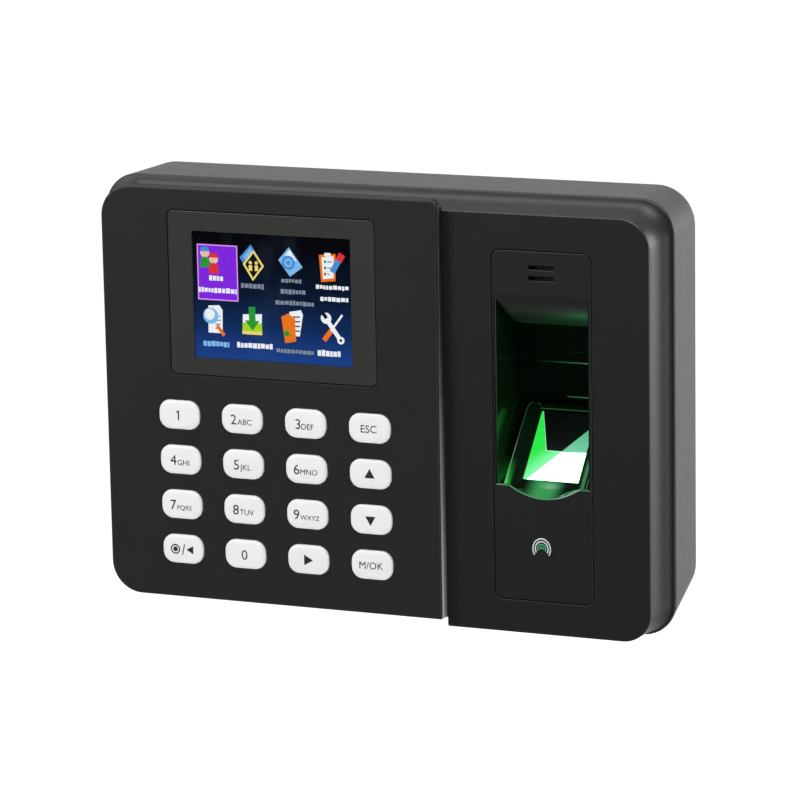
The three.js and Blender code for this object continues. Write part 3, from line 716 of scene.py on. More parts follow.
def display_glass():
    """The display itself, whose lit face stands just behind the window's front."""
    bm = bmesh.new()
    lit_face = rect(LCD.x0, LCD.x1, LCD.z0, LCD.z1, 0.15)
    glass = rect(screen.x0, screen.x1, screen.z0, screen.z1, 1.0)
    rings = [outline(lit_face, LCD.y, 2), outline(lit_face, screen.y0, 2)]
    rings += [outline(glass, screen.y0, 2), outline(glass, screen.y1, 2)]
    solid(bm, rings)
    piece = as_object("display_glass", bm)
    finish_piece(piece, "screen", ["display_panel"])


class Icons:
    """Flat shapes on the display, in millimetres from its lower left corner."""

    def __init__(self):
        self.bm = bmesh.new()
        self.finishes = []
        self.layer = 0

    def shape(self, points, finish):
        if finish not in self.finishes:
            self.finishes.append(finish)
        self.layer += 1
        y = LCD.y - 0.04 - 0.0006 * self.layer
        rings = [[Vector((LCD.x0 + x, depth, LCD.z0 + z)) for x, z in points] for depth in (y, LCD.y - 0.01)]
        slab(self.bm, *rings, self.finishes.index(finish))

    def disc(self, x, z, radius, finish, squash=1.0, sides=28):
        turns = [tau * k / sides for k in range(sides)]
        self.shape([(x + radius * cos(a), z + squash * radius * sin(a)) for a in turns], finish)

    def bar(self, x0, x1, z, height, finish, lean=0.0):
        h = height / 2
        self.shape([(x0 - lean, z - h), (x1 - lean, z - h), (x1 + lean, z + h), (x0 + lean, z + h)], finish)

    def stroke(self, x0, z0, x1, z1, width, finish):
        length = hypot(x1 - x0, z1 - z0)
        nx, nz = -(z1 - z0) / length * width / 2, (x1 - x0) / length * width / 2
        self.shape([(x0 + nx, z0 + nz), (x0 - nx, z0 - nz), (x1 - nx, z1 - nz), (x1 + nx, z1 + nz)], finish)

    def caption(self, x0, x1, z, height, finish, source):
        """A caption shown as a broken bar, with no lettering."""
        x = x0
        while x < x1 - 0.5:
            width = min(source.uniform(0.7, 1.5), x1 - x)
            self.bar(x, x + width, z + source.uniform(-0.1, 0.1), height * source.uniform(0.75, 1), finish)
            x += width + 0.3


def tokens(icons):
    """Two round-headed game-piece tokens on the chosen cell."""
    for x, z, cap, body in ((4.4, 33.4, "blue", "green"), (7.6, 31.4, "red", "red")):
        icons.disc(x, z + 2.6, 1.7, "skin")
        icons.shape([(x - 1.7, z + 3), (x - 1.2, z + 4.6), (x + 1.2, z + 4.6), (x + 1.7, z + 3)], cap)
        icons.shape([(x - 2, z - 2.4), (x + 2, z - 2.4), (x + 1.5, z + 0.6), (x, z + 1.3),
                     (x - 1.5, z + 0.6)], body)


def first_row(icons):
    icons.shape([(20.6, 30.0), (17.2, 35.0), (21.4, 39.6), (24.6, 34.6)], "blue")
    icons.shape([(20.6, 32.4), (18.6, 35.4), (21.3, 38.6), (23.4, 35.0)], "pale_blue")
    icons.shape([(21.9, 27.2), (26.1, 32.4), (22.4, 37.8), (18.3, 32.8)], "yellow")
    icons.shape([(22.0, 28.3), (25.2, 32.4), (22.3, 36.7), (19.2, 32.8)], "black")
    for x in (21.1, 23.3):
        icons.bar(x - 0.65, x + 0.65, 31.6, 1.9, "yellow")
        icons.disc(x, 33.4, 0.62, "yellow", sides=12)
    icons.shape([(35.3, 39.4), (31.4, 34.9), (35.5, 29.4), (40.2, 32.8)], "pale_blue")
    icons.shape([(35.6, 38.6), (33.8, 36.6), (38.2, 34.6)], "white")
    icons.disc(35.0, 34.1, 2.4, "blue")
    icons.disc(35.0, 34.1, 1.5, "pale_blue")
    icons.disc(35.0, 34.1, 0.8, "blue")
    icons.shape([(46.2, 37.4), (46.8, 28.2), (52.0, 28.8), (52.2, 38.0)], "orange")
    icons.shape([(47.1, 36.6), (47.5, 29.2), (51.4, 29.8), (51.5, 37.2)], "white")
    icons.bar(48.2, 50.4, 37.6, 1.2, "white")
    for row, finish in enumerate(("green", "green", "red")):
        z = 35.2 - 2.1 * row
        icons.bar(47.9, 48.8, z, 0.9, finish)
        icons.bar(49.2, 50.9, z, 0.4, "grey")
    icons.stroke(50.8, 31.6, 53.6, 36.4, 2.0, "blue")
    icons.stroke(53.2, 35.6, 54.6, 38.0, 2.4, "red")
    icons.stroke(50.2, 30.6, 50.9, 31.8, 1.0, "white")


def second_row(icons):
    icons.shape([(5.2, 17.9), (9.2, 18.2), (10.4, 16.6), (10.2, 8.6), (5.0, 8.6)], "white")
    for z in (10.2, 11.6, 13.0, 14.4):
        icons.bar(7.6, 9.6, z, 0.4, "grey")
    icons.stroke(8.2, 11.2, 10.8, 7.9, 1.2, "orange")
    icons.disc(6.0, 14.4, 2.8, "pale_blue")
    icons.disc(5.6, 14.9, 1.9, "white")
    icons.shape([(17.9, 15.6), (24.9, 16.0), (24.6, 9.2), (17.6, 9.2)], "white")
    icons.shape([(17.7, 12.8), (24.8, 12.8), (24.8, 8.8), (17.6, 8.8)], "lime")
    icons.shape([(17.6, 8.8), (24.8, 8.8), (24.9, 9.9), (17.5, 9.9)], "yellow")
    icons.bar(20.1, 22.5, 15.8, 5.0, "green")
    icons.shape([(18.6, 13.6), (21.3, 10.2), (24.0, 13.6)], "green")
    icons.shape([(35.0, 17.4), (39.2, 18.2), (39.9, 16.6), (38.6, 9.2), (34.6, 9.2)], "white")
    for z in (11.0, 12.6, 14.2, 15.8):
        icons.bar(36.4, 38.8, z, 0.45, "black", 0.1)
    icons.shape([(32.0, 15.6), (34.4, 16.8), (37.0, 15.4), (37.2, 7.4), (33.2, 6.6)], "orange")
    icons.disc(33.9, 9.9, 1.0, "green")
    icons.stroke(47.4, 8.4, 50.2, 12.0, 1.7, "orange")
    icons.stroke(50.0, 11.8, 54.2, 17.4, 0.7, "white")
    icons.stroke(48.6, 15.4, 53.4, 8.8, 1.5, "white")
    icons.disc(48.3, 16.0, 1.9, "white")
    icons.stroke(46.7, 18.3, 48.5, 16.0, 1.3, "black")
    icons.disc(53.5, 8.7, 1.3, "white")
    icons.disc(53.5, 8.7, 0.5, "black")


def display_icons():
    """The menu picture: a chosen cell, eight generic pictograms and their captions."""
    icons = Icons()
    source = random.Random(SEED)
    icons.shape([(1.5, 19.8), (16.4, 19.8), (16.4, 38.9), (1.5, 38.9)], "pink")
    icons.shape([(1.9, 20.2), (16.0, 20.2), (16.0, 38.5), (1.9, 38.5)], "purple")
    tokens(icons)
    first_row(icons)
    second_row(icons)
    captions = (
        (5.8, 10.9, 27.4, 1.8, "white"), (1.8, 15.8, 23.2, 1.8, "white"), (17.5, 26.5, 25.4, 1.9, "grey"),
        (32.3, 39.6, 28.0, 1.4, "grey"), (32.0, 41.8, 24.3, 1.6, "grey"), (30.0, 44.0, 20.4, 1.6, "grey"),
        (44.9, 57.2, 26.5, 1.5, "white"), (46.4, 56.5, 22.5, 1.5, "white"),
        (3.0, 12.6, 4.8, 1.9, "pale_blue"),
        (15.5, 28.8, 5.0, 1.9, "white"), (30.0, 43.6, 3.9, 1.5, "grey"), (45.0, 54.0, 4.0, 2.1, "white"),
    )
    for x0, x1, z, height, finish in captions:
        icons.caption(x0, x1, z, height, finish, source)
    piece = as_object("display_picture", icons.bm, 20)
    finish_piece(piece, "screen", (), icons.finishes)


# ---- keys ----
MARKS = {
    "1": [("1", 0)], "2": [("2", 0), ("ABC", 1)], "3": [("3", 0), ("DEF", 1)],
    "4": [("4", 0), ("GHI", 1)], "5": [("5", 0), ("JKL", 1)], "6": [("6", 0), ("MNO", 1)],
    "7": [("7", 0), ("PQRS", 2)], "8": [("8", 0), ("TUV", 1)], "9": [("9", 0), ("WXYZ", 2)],
    "0": [("0", 0)], "escape": [("ESC", 3)], "ok": [("M/OK", 4)],
}
MARK_SIZES = (4.9, 2.75, 2.35, 3.7, 3.5)
MARK_THICK = 0.03
DOT_X = 2.6                 # how far the menu sign lies left of its key's middle


def key_cap(name, b):
    """A pillow-shaped key: a nearly flat top, a soft shoulder, straight sides and a retaining lip."""
    bm = bmesh.new()
    shoulder = ((3.4, 0.0), (2.2, 0.015), (1.3, 0.07), (0.75, 0.17), (0.36, 0.34), (0.12, 0.58), (0.02, 0.85),
                (0, 1.2))
    rings = [outline(key_shape(b, -inset), b.y0 + depth, 8) for inset, depth in shoulder]
    skirt = b.y1 - 1.0
    rings += [outline(key_shape(b), skirt, 8), outline(key_shape(b, KEY_LIP), skirt, 8)]
    rings.append(outline(key_shape(b, KEY_LIP), b.y1, 8))
    solid(bm, rings)
    piece = as_object(f"cap_{name}", bm, 50)
    finish_piece(piece, "key_plastic", [f"key_{name}"], body=f"button_{name}")


def text_mesh(words, size):
    """A flat word as a mesh that stands up in X and Z, with its width in millimetres."""
    curve = bpy.data.curves.new("word", "FONT")
    curve.body = words
    curve.size = size
    curve.extrude = MARK_THICK / 2
    curve.resolution_u = 3
    holder = placed("word", curve)
    bpy.context.view_layer.update()
    mesh = bpy.data.meshes.new_from_object(holder.evaluated_get(bpy.context.evaluated_depsgraph_get()))
    bpy.data.objects.remove(holder)
    xs = [v.co.x for v in mesh.vertices]
    return mesh, min(xs), max(xs)


def ink(bm, points, y):
    """A flat outline in X and Z, a mark's thickness deep."""
    slab(bm, *([Vector((x, depth, z)) for x, z in points] for depth in (y - MARK_THICK, y)))


def arrow(x, z, size, turn):
    a = radians(turn)
    corners = ((0, 1), (-0.92, -0.62), (0.92, -0.62))
    return [(x + size * (u * cos(a) - v * sin(a)), z + size * (u * sin(a) + v * cos(a))) for u, v in corners]


def key_mark(name, b):
    """The printed mark of one key, as a thin layer of ink."""
    bm = bmesh.new()
    y = b.y0 + 0.005
    top = y - MARK_THICK
    if name in MARKS:
        parts = [text_mesh(words, MARK_SIZES[kind]) for words, kind in MARKS[name]]
        gap = 0.35
        height = 0.36 * MARK_SIZES[MARKS[name][0][1]]
        x = b.x - (sum(x1 - x0 for _, x0, x1 in parts) + gap * (len(parts) - 1)) / 2
        for mesh, x0, x1 in parts:
            mesh.transform(Matrix(((1, 0, 0, x - x0), (0, 0, -1, y - MARK_THICK / 2), (0, 1, 0, b.z - height),
                                   (0, 0, 0, 1))))
            bm.from_mesh(mesh)
            x += x1 - x0 + gap
        if name == "1":
            flag = ((0.1, 0.0), (0.1, -0.5), (-0.75, -1.05), (-0.75, -0.65))
            ink(bm, [(b.x + u, b.z + height * 1.02 + v) for u, v in flag], y)
    elif name == "back":
        x = b.x - DOT_X
        rows = strip(bm,
                     [circle(x, depth, b.z, r, 24) for r,
                      depth in ((1.75, y), (1.75, top), (1.3, top), (1.3, y))])
        bridge(bm, rows[-1], rows[0])
        slab(bm, circle(x, top, b.z, 0.85, 16), circle(x, y, b.z, 0.85, 16))
        ink(bm, [(b.x + u, b.z + v) for u, v in ((-0.15, -1.9), (0.2, -1.9), (1.05, 1.9), (0.7, 1.9))], y)
        ink(bm, arrow(b.x + 3.1, b.z, 1.55, 90), y)
    else:
        ink(bm, arrow(b.x, b.z, 2.0, {"up": 0, "down": 180, "right": -90}[name]), y)
    piece = as_object(f"mark_{name}", bm, 20)
    finish_piece(piece, "inner_black", (), ("ink",), f"button_{name}")


def keys():
    for node, b in key_boxes().items():
        name = node[len("key_"):]
        key_cap(name, b)
        key_mark(name, b)


# ---- finger bay ----
BAY = SimpleNamespace(x0=43.6, x1=75.7, back=-10.5, foot=-22.7)
HOOD = SimpleNamespace(y=-12.0, z=41.3, deep=28.0, high=14.0, end=3.6, lift=5.0)
CORNER = 6.0                # radius between the bay's side walls and its back
LIP_DIP = SimpleNamespace(z=-26.9, radius=18.6, reach=12.2)
platen = SimpleNamespace(x=prism.x, y=(prism.y0 + prism.y1) / 2, z=(prism.z0 + prism.z1) / 2)
platen.half = (prism.x1 - prism.x0) / 2
platen.reach = (prism.y1 - prism.y0) / 2 * sqrt(2)
GUIDE_FLOOR = 1.9           # how deep the bay's floor lies below the glass


def on_platen(x, s, n):
    """A point from the platen's own frame: across, up the slope and out of the glass."""
    c = sqrt(0.5)
    return Vector((platen.x + x, platen.y + c * (s - n), platen.z + c * (s + n)))


def hood_point(turn):
    """A point on the hood's roll, from the face (0 degrees) to the ceiling (90 degrees)."""
    a = radians(turn)
    return HOOD.y - HOOD.deep * cos(a), HOOD.z - HOOD.high * sin(a)


def dip(x):
    across = min(abs(x - platen.x), LIP_DIP.reach)
    return LIP_DIP.z + across**2 / (2 * LIP_DIP.radius)


def floor_path():
    """The bay's lower side from its lip to its back: depth, share of the lip's dip, drop."""
    path = [(-40.0, 1.0, -0.45), (-39.9, 1.0, -0.2), (-39.65, 1.0, -0.05), (-39.2, 0.97, 0.0)]
    for k in range(1, 6):
        t = k / 6
        path.append((-39.2 + 5.6 * t, 0.97 * (1 - t) ** 1.4, -0.9 * sin(pi * t)))
    path.append((-33.6, 0.0, 0.0))
    path.append((-33.4, 0.0, -1.6))
    for k in range(1, 9):
        t = 1 - (1 - k / 8) ** 2
        path.append((-33.4 + (BAY.back + 33.4) * t, 0.0, None))
    return path


def wall_inset(y):
    """How far the bay's side walls have turned inwards at a depth y."""
    into = max(0.0, y - (BAY.back - CORNER))
    return CORNER - sqrt(max(CORNER**2 - into**2, 0.0))


def bay_ring(upper, lower, flare, out=0.0):
    """One closed section of the bay, from its upper line round to its lower line."""
    y_up, z_up, lift = upper
    y_low, share, drop = lower
    across, down = 24, 10
    slope_z = platen.z + (y_low - platen.y) - GUIDE_FLOOR * sqrt(2)

    def wall(y, side):
        inset = 0.0 if out else wall_inset(y)
        return (BAY.x1 + flare + out - inset) if side > 0 else (BAY.x0 - flare - out + inset)

    def high_z(x):
        near = max(x - BAY.x0, 0.0)
        return z_up + out + lift * max(0.0, 1 - near / HOOD.end) ** 2

    def low_z(x):
        if drop is None:
            return slope_z - out
        return share * dip(x) + (1 - share) * BAY.foot + drop - out

    def row(y, order, height):
        x0, x1 = wall(y, -1), wall(y, 1)
        shares = [k / across - 0.11 * sin(tau * k / across) for k in range(across + 1)]
        xs = [x0 + (x1 - x0) * share for share in shares]
        return [Vector((x, y, height(x))) for x in xs[::order]]

    def climb(side):
        points = []
        top, foot = high_z(wall(y_up, side)), low_z(wall(y_low, side))
        for k in range(1, down):
            t = k / down
            y = y_up + (y_low - y_up) * t
            points.append(Vector((wall(y, side), y, top * (1 - t) + foot * t)))
        return points

    return row(y_up, -1, high_z) + climb(-1) + row(y_low, 1, low_z) + climb(1)[::-1]


def surround_part(face):
    """A face's finish on the insert: 0 the bay, 1 the face, 2 the hood's roll, 3 the apron, 4 its lip."""
    x, y, z = face.center / MM
    flat = face.normal.y < -0.999 and y < FACE_Y + 0.05
    if flat or not (BAY.x0 - 0.65 < x < BAY.x1 + 0.65 and LIP_DIP.z - 1 < z < HOOD.z + 0.1):
        return 1
    if face.normal.y < 0 and face.normal.z <= 0 and abs(face.normal.x) < 0.5 and y < -16 and z > 20:
        return 2
    if y < -39.6 and z < dip(x) + 0.8:
        return 4
    return 3 if face.normal.z > 0.2 and y < -33.5 and z < -15 else 0


def finger_bezel():
    """The glossy insert: its face, the deep hood above the finger and the bay's walls, lip and floor."""
    bm = bmesh.new()
    floor = floor_path()
    turns = [90 * k / (len(floor) - 1) for k in range(len(floor))]
    inner = []
    for k, (turn, low) in enumerate(zip(turns, floor)):
        flare = max(0.0, 0.6 - 0.3 * k)
        inner.append(bay_ring((*hood_point(turn), HOOD.lift * sin(radians(turn))), low, flare))
    ceiling = HOOD.z - HOOD.high
    ledge = ((-11.2, ceiling - 1.2), (-10.9, ceiling - 3.5), (-10.9, 16.9), (-10.7, 16.5), (BAY.back, 16.2),
             (BAY.back, 12.0))
    for y, z in ledge:
        inner.append(bay_ring((y, z, 0.0), (BAY.back, 0.0, None), 0))
    plate_back = FACE_Y + 2.0
    turn = degrees(acos((HOOD.y - plate_back) / HOOD.deep))
    outer_bay = []
    for t in (0, 0.35, 0.7, 1):
        y = plate_back + (BAY.back + 1 - plate_back) * t
        angle = turn + (90 - turn) * t
        _, z_up = hood_point(angle)
        low = (y, 1.0, -0.5) if t == 0 else (y, 0.0, None)
        outer_bay.append(bay_ring((y, z_up, HOOD.lift), low, 0, 1.0))
    edge = rect(bezel.x0, bezel.x1, bezel.z0, bezel.z1, 3.0)
    skin = strip(bm,
                 rounded_edge(edge, FACE_Y, 0.3, 1, 3, SMALL_ARC) + [outline(edge, plate_back, SMALL_ARC)])
    hollow = strip(bm, inner)
    jacket = strip(bm, outer_bay)
    slots = []
    for side in (-1, 1):
        z = 48.8 + side * 1.8
        slots.append(strip(bm,
                           slot_through(rect(55.1, 64.3, z - 0.75, z + 0.75, 0.7), FACE_Y, plate_back, 0.2)))
    fill(bm, [skin[0], hollow[0]] + [s[0] for s in slots])
    fill(bm, [skin[-1], jacket[0]] + [s[-1] for s in slots])
    fill(bm, [hollow[-1]])
    fill(bm, [jacket[-1]])
    piece = as_object("finger_surround", bm, 28, crisp=True)
    for face in piece.data.polygons:
        face.material_index = surround_part(face)
    # lip_glow paints a pale green highlight along the bay's lip
    finishes = ("bay_plastic", "case_plastic", "hood_plastic", "apron_gloss", "lip_glow")
    finish_piece(piece, "bezel_plastic", ["finger_bezel"], finishes)


def bead(bm, points, radius, sides=8):
    """A thin round bead through a list of points."""
    rings = []
    for i, point in enumerate(points):
        along = points[min(i + 1, len(points) - 1)] - points[max(i - 1, 0)]
        turn = along.to_track_quat("Z", "Y")
        turns = [tau * k / sides for k in range(sides)]
        rings.append([point + turn @ Vector((radius * cos(a), radius * sin(a), 0)) for a in turns])
    solid(bm, rings)


def guide_section(side, s, top, bend):
    """Half of the guide's cross-section: the glossy ramp from the glass up to the crest and its back."""
    edge = platen.half + 0.25
    crest = 14.3 - bend
    outer = 15.75 + (0.25 if side < 0 else -0.25)
    ramp = [(edge, -GUIDE_FLOOR + 0.1), (edge, 0.05), (edge + 0.25, 0.15)]
    for k in range(1, 6):
        t = k / 6
        ramp.append((edge + 0.25 + (crest - edge - 0.6) * t, 0.15 + (top - 0.15) * t**1.15))
    ramp += [(crest - 0.2, top - 0.05), (crest, top), (crest + 0.25, top - 0.08), (crest + 0.45, top - 0.35)]
    ramp += [(outer - 0.35, min(0.6, top) - 0.3), (outer, -0.6), (outer, -GUIDE_FLOOR + 0.1)]
    return [on_platen(side * x, s, n) for x, n in ramp]


def finger_guide():
    """The guide round the glass: a ramped wing on each side, which sets the finger straight."""
    bm, edges = bmesh.new(), bmesh.new()
    for side in (-1, 1):
        rings = []
        stops = [(-18.6, 2.6, 0.0), (-18.2, 2.9, 0.0), (-12.0, 3.0, 0.0), (0.0, 3.0, 0.1), (11.0, 3.0, 0.3)]
        for k in range(1, 8):
            a = radians(90 * k / 7)
            stops.append((11.0 + 4.9 * sin(a), 0.9 + 2.1 * cos(a) ** 0.6, 0.3 + 1.5 * (1 - cos(a))))
        for s, top, bend in stops:
            rings.append(guide_section(side, s, top, bend))
        solid(bm, rings)
        # beads along each wing's crest, carrying a painted highlight (edge_glow)
        crest = [on_platen(side * (14.3 - bend), s, top) for s, top, bend in stops[1:]]
        crest += [on_platen(side * x, s, n) for x, s, n in ((11.0, 15.9, 0.8), (10.2, 14.9, 0.95))]
        bead(edges, crest, 0.09)
    low = -GUIDE_FLOOR + 0.1
    edge = platen.half + 0.2
    for s0, s1, top in ((platen.reach + 0.3, platen.reach + 3.0, 0.9),
                        (-platen.reach - 1.4, -platen.reach - 0.25, -0.35)):
        rings = []
        for x in (-edge, -edge * 0.5, 0, edge * 0.5, edge):
            rings.append([on_platen(x, s0, low), on_platen(x, s1, low), on_platen(x, s1, top - 0.25),
                          on_platen(x, s1 - 0.25, top), on_platen(x, s0 + 0.25, top),
                          on_platen(x, s0, top - 0.25)])
        solid(bm, rings)
    piece = as_object("finger_ramps", bm, 40)
    finish_piece(piece, "bezel_plastic", ["finger_guide"], ("guide_plastic",))
    # a bead along the upper end bar, also a painted highlight
    bead(edges, [on_platen(x, platen.reach + 0.55, 0.9) for x in (-10.2, 0, 10.2)], 0.13)
    finish_piece(as_object("guide_crest_highlights", edges), "bezel_plastic", (), ("edge_glow",))
    # beads on the bay's back wall: painted highlights where its ledges catch the green light
    ledge_lines = bmesh.new()
    for x0, z in ((47.5, 13.1), (58.0, 1.4)):
        bead(ledge_lines, [Vector((x, BAY.back - 0.1, z)) for x in (x0, 62, 69)], 0.2)
    finish_piece(as_object("bay_ledge_highlights", ledge_lines), "bezel_plastic", (), ("rib_glow",))


def prism_body():
    """The glass prism below the platen, with ground edges."""
    bm = bmesh.new()
    r = platen.reach
    deep = -0.25
    ease = 0.4
    sections = []
    for x, inset in ((-platen.half, ease), (-platen.half + ease, 0), (platen.half - ease, 0),
                     (platen.half, ease)):
        sections.append([on_platen(x, -r + inset * 2, deep), on_platen(x, r - inset * 2, deep),
                         on_platen(x, r - inset, deep - ease),
                         on_platen(x, ease, deep - r + 1.4 * inset + ease),
                         on_platen(x, -ease, deep - r + 1.4 * inset + ease),
                         on_platen(x, -r + inset, deep - ease)])
    solid(bm, sections)
    piece = as_object("prism_glass", bm, 20)
    finish_piece(piece, "prism_glass", ["finger_prism"])


# Facets of green light seen in the glass, painted as glowing patches, in the platen's frame (across, up the
# slope).
LIGHT_CUT = SimpleNamespace(foot=(-8.5, -13.4), knee=(0.9, -2.0), side=(9.7, 8.9), shelf=(9.7, -1.7))
DARK_FOOT = (-4.4, -2.0)
DARK_TOP = (-9.2, 13.4)


def platen_faces():
    """The lit face of the glass: a dark image field and three facets of painted green light round it, with
    painted highlight lines along the field's edges.
    """
    half, r = platen.half - 0.1, platen.reach - 0.1
    cut_line = LIGHT_CUT
    facets = (
        ("unlit", [DARK_TOP, DARK_FOOT, cut_line.knee, cut_line.side, (half, r)]),
        ("glow_green", [(-half, -r), cut_line.foot, cut_line.knee, DARK_FOOT, DARK_TOP, (-half, r)]),
        ("glow_white", [cut_line.foot, (half, -r), cut_line.shelf, cut_line.knee]),
        ("glow_teal", [cut_line.knee, cut_line.shelf, cut_line.side]),
        ("glow_line",
         [DARK_TOP, DARK_FOOT, (DARK_FOOT[0] + 0.22, DARK_FOOT[1]), (DARK_TOP[0] + 0.12, DARK_TOP[1])]),
        ("glow_line", [DARK_FOOT, cut_line.knee, (cut_line.knee[0], cut_line.knee[1] + 0.25),
                       (DARK_FOOT[0], DARK_FOOT[1] + 0.25)]),
    )
    bm = bmesh.new()
    for index, (finish, points) in enumerate(facets):
        raised = 0.02 * (finish == "glow_line")
        slab(bm, *([on_platen(x, s, n) for x, s in points] for n in (raised, -0.2)), index)
    piece = as_object("platen_light", bm, 20)
    finish_piece(piece, "prism_glass", (), [finish for finish, _ in facets])


UP = (0, 0.7, 0.7)          # up the slope of the glass
ACROSS = Vector((-0.775, 0.45, 0.45)).normalized()
# painted light finish: its two colours, where the change starts in millimetres, direction and reach in metres
GLOWS = {
    "glow_green": ((0.2, 0.96, 0.37), (0.02, 0.8, 0.065), on_platen(*LIGHT_CUT.foot, 0), ACROSS, 0.0065),
    "glow_white": ((1.5, 4.8, 2.3), (1.25, 4.0, 1.9), on_platen(0, -13, 0), UP, 0.012),
    "glow_teal": ((0.15, 0.58, 0.33), (0.1, 0.45, 0.25), on_platen(3, -1, 0), UP, 0.009),
    "glow_line": ((0.5, 0.95, 0.62), (0.3, 0.8, 0.45), on_platen(0, -2, 0), UP, 0.015),
    "edge_glow": ((0.06, 0.28, 0.1), (0.02, 0.09, 0.035), on_platen(0, -19, 0), UP, 0.024),
    "lip_glow": ((0.07, 0.24, 0.11), (0.04, 0.14, 0.06), Vector((platen.x, 0, 0)), (1, 0, 0), 0.012),
    "rib_glow": ((0.001, 0.006, 0.002), (0.03, 0.15, 0.055), Vector((48, 0, 0)), (1, 0, 0), 0.02),
}


# ---- sockets, fastenings and the carried-over pieces ----
def softened(node, name, width, slot):
    """A copy of a CAD node's mesh with its flat faces rejoined and its edges rounded."""
    source = frame["nodes"][node]
    bm = bmesh.new()
    bm.from_mesh(source.data)
    bmesh.ops.remove_doubles(bm, verts=bm.verts, dist=1e-6)
    bmesh.ops.dissolve_limit(bm, angle_limit=radians(2), verts=bm.verts, edges=bm.edges)
    bm.transform(Matrix.Scale(1 / MM, 4))
    piece = as_object(name, bm, 35)
    modifier = piece.modifiers.new("rounded", "BEVEL")
    modifier.width = width * MM
    modifier.segments = 2
    modifier.limit_method = "ANGLE"
    modifier.angle_limit = radians(40)
    finish_piece(piece, slot, [node], body=source["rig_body"])


def socket_contacts():
    """Eight sprung contacts in the network socket, the USB tongue and the power pin."""
    net = box_of("network_socket")
    bm = bmesh.new()
    for k in range(8):
        x = net.x + (k - 3.5) * 1.02
        rings = []
        for y, z in ((net.y1 - 2.6, net.z0 + 1.2), (net.y1 - 4.2, net.z0 + 5.5),
                     (net.y1 - 3.0, net.z0 + 10.5)):
            rings.append([Vector((x - 0.22, y, z)), Vector((x + 0.22, y, z)), Vector((x + 0.22, y + 0.3, z)),
                          Vector((x - 0.22, y + 0.3, z))])
        solid(bm, rings)
    finish_piece(as_object("network_contacts", bm, 40), "cell_metal", (), ("contact_gold",))
    usb = box_of("usb_socket")
    bm = bmesh.new()
    tongue = rect(usb.x - 5.3, usb.x + 5.3, usb.y + 0.1, usb.y + 1.9, 0.3)
    solid(bm,
          [swap_yz(outline(grow(tongue, -0.2), usb.z0 + 1.0, 3)), swap_yz(outline(tongue, usb.z0 + 1.3, 3)),
               swap_yz(outline(tongue, usb.z0 + 10, 3))])
    finish_piece(as_object("usb_tongue", bm, 40), "inner_black")
    power = box_of("power_socket")
    bm = bmesh.new()
    rings = [[Vector((p.x, p.z, z)) for p in circle(power.x, 0, power.y, radius, 20)]
             for radius,
             z in ((0.5, power.z0 + 1.2), (0.95, power.z0 + 1.7), (1.05, power.z0 + 2.2),
                   (1.05, power.z0 + 9))]
    solid(bm, rings)
    finish_piece(as_object("power_pin", bm, 40), "cell_metal")


def screw_head(name, centre, axis, node, body, radius, height, length, shank):
    """A pan head with a cross recess on its shank, along axis from the head's top."""
    bm = bmesh.new()
    z_axis = Vector(axis)
    turn = z_axis.to_track_quat("Z", "Y").to_matrix().to_4x4()
    profile = [(radius * 0.35, 0.0), (radius * 0.75, 0.12), (radius * 0.95, 0.45), (radius, 0.85),
               (radius, height)]
    profile += [(shank, height), (shank, length - shank), (shank * 0.2, length)]
    rings = [[Vector((r * cos(a), r * sin(a), z)) for a in (tau * k / 28 for k in range(28))]
             for r, z in profile]
    solid(bm, rings)
    bm.transform(Matrix.Translation(centre) @ turn)
    piece = as_object(name, bm, 35)
    cutters = []
    for angle in (0, 90):
        c = bmesh.new()
        arm, half = radius * 0.55, 0.32
        solid(c,
              [[Vector((x * w, y * w, z)) for x,
                y in ((-arm, -half), (arm, -half), (arm, half), (-arm, half))]
                  for z, w in ((-0.5, 1.0), (1.1, 0.7))])
        c.transform(Matrix.Translation(centre) @ turn @ Matrix.Rotation(radians(angle), 4, "Z"))
        cutters.append(as_object("cutter", c))
    cut(piece, cutters)
    finish_piece(piece, "screw_steel", [node], body=body)


def screws():
    for number in range(1, 5):
        b = box_of(f"case_screw_{number}")
        screw_head(f"housing_screw_{number}", Vector((b.x, b.y1, b.z)), (0, -1, 0), f"case_screw_{number}",
                   "terminal", 2.6, 1.8, b.y1 - b.y0, 1.4)
    b = box_of("lock_screw")
    screw_head("locking_screw", Vector((b.x, b.y, b.z0)), (0, 0, 1), "lock_screw", "bracket", 2.9, 2.0,
               b.z1 - b.z0, 1.5)


SOFTENED = {
    "wall_plate": ("mounting_plate", 0.25, "plate_steel"),
    "port_plate": ("port_cover", 0.15, "case_plastic"),
    "network_socket": ("network_jack", 0.25, "sheet_steel"),
    "usb_socket": ("usb_jack", 0.2, "sheet_steel"),
    "power_socket": ("power_jack", 0.3, "inner_black"),
    "processor_shield": ("processor_can", 0.4, "sheet_steel"),
    "clock_cell": ("coin_cell", 0.3, "cell_metal"),
    "speaker": ("speaker_unit", 0.3, "inner_black"),
    "camera_lens": ("lens_barrel", 0.2, "inner_black"),
    "sensor_housing": ("sensor_box", 0.3, "inner_black"),
    "display_frame": ("display_holder", 0.3, "frame_white"),
    "key_mat": ("silicone_mat", 0.3, "mat_rubber"),
    "main_board": ("circuit_board", 0.15, "board"),
    "keypad_board": ("key_board", 0.15, "board"),
    "camera_board": ("camera_circuit", 0.15, "board"),
    "sensor_light_board": ("light_circuit", 0.15, "board"),
    "display_ribbon": ("display_flex", 0.08, "ribbon"),
    "sensor_ribbon": ("sensor_flex", 0.08, "ribbon"),
}


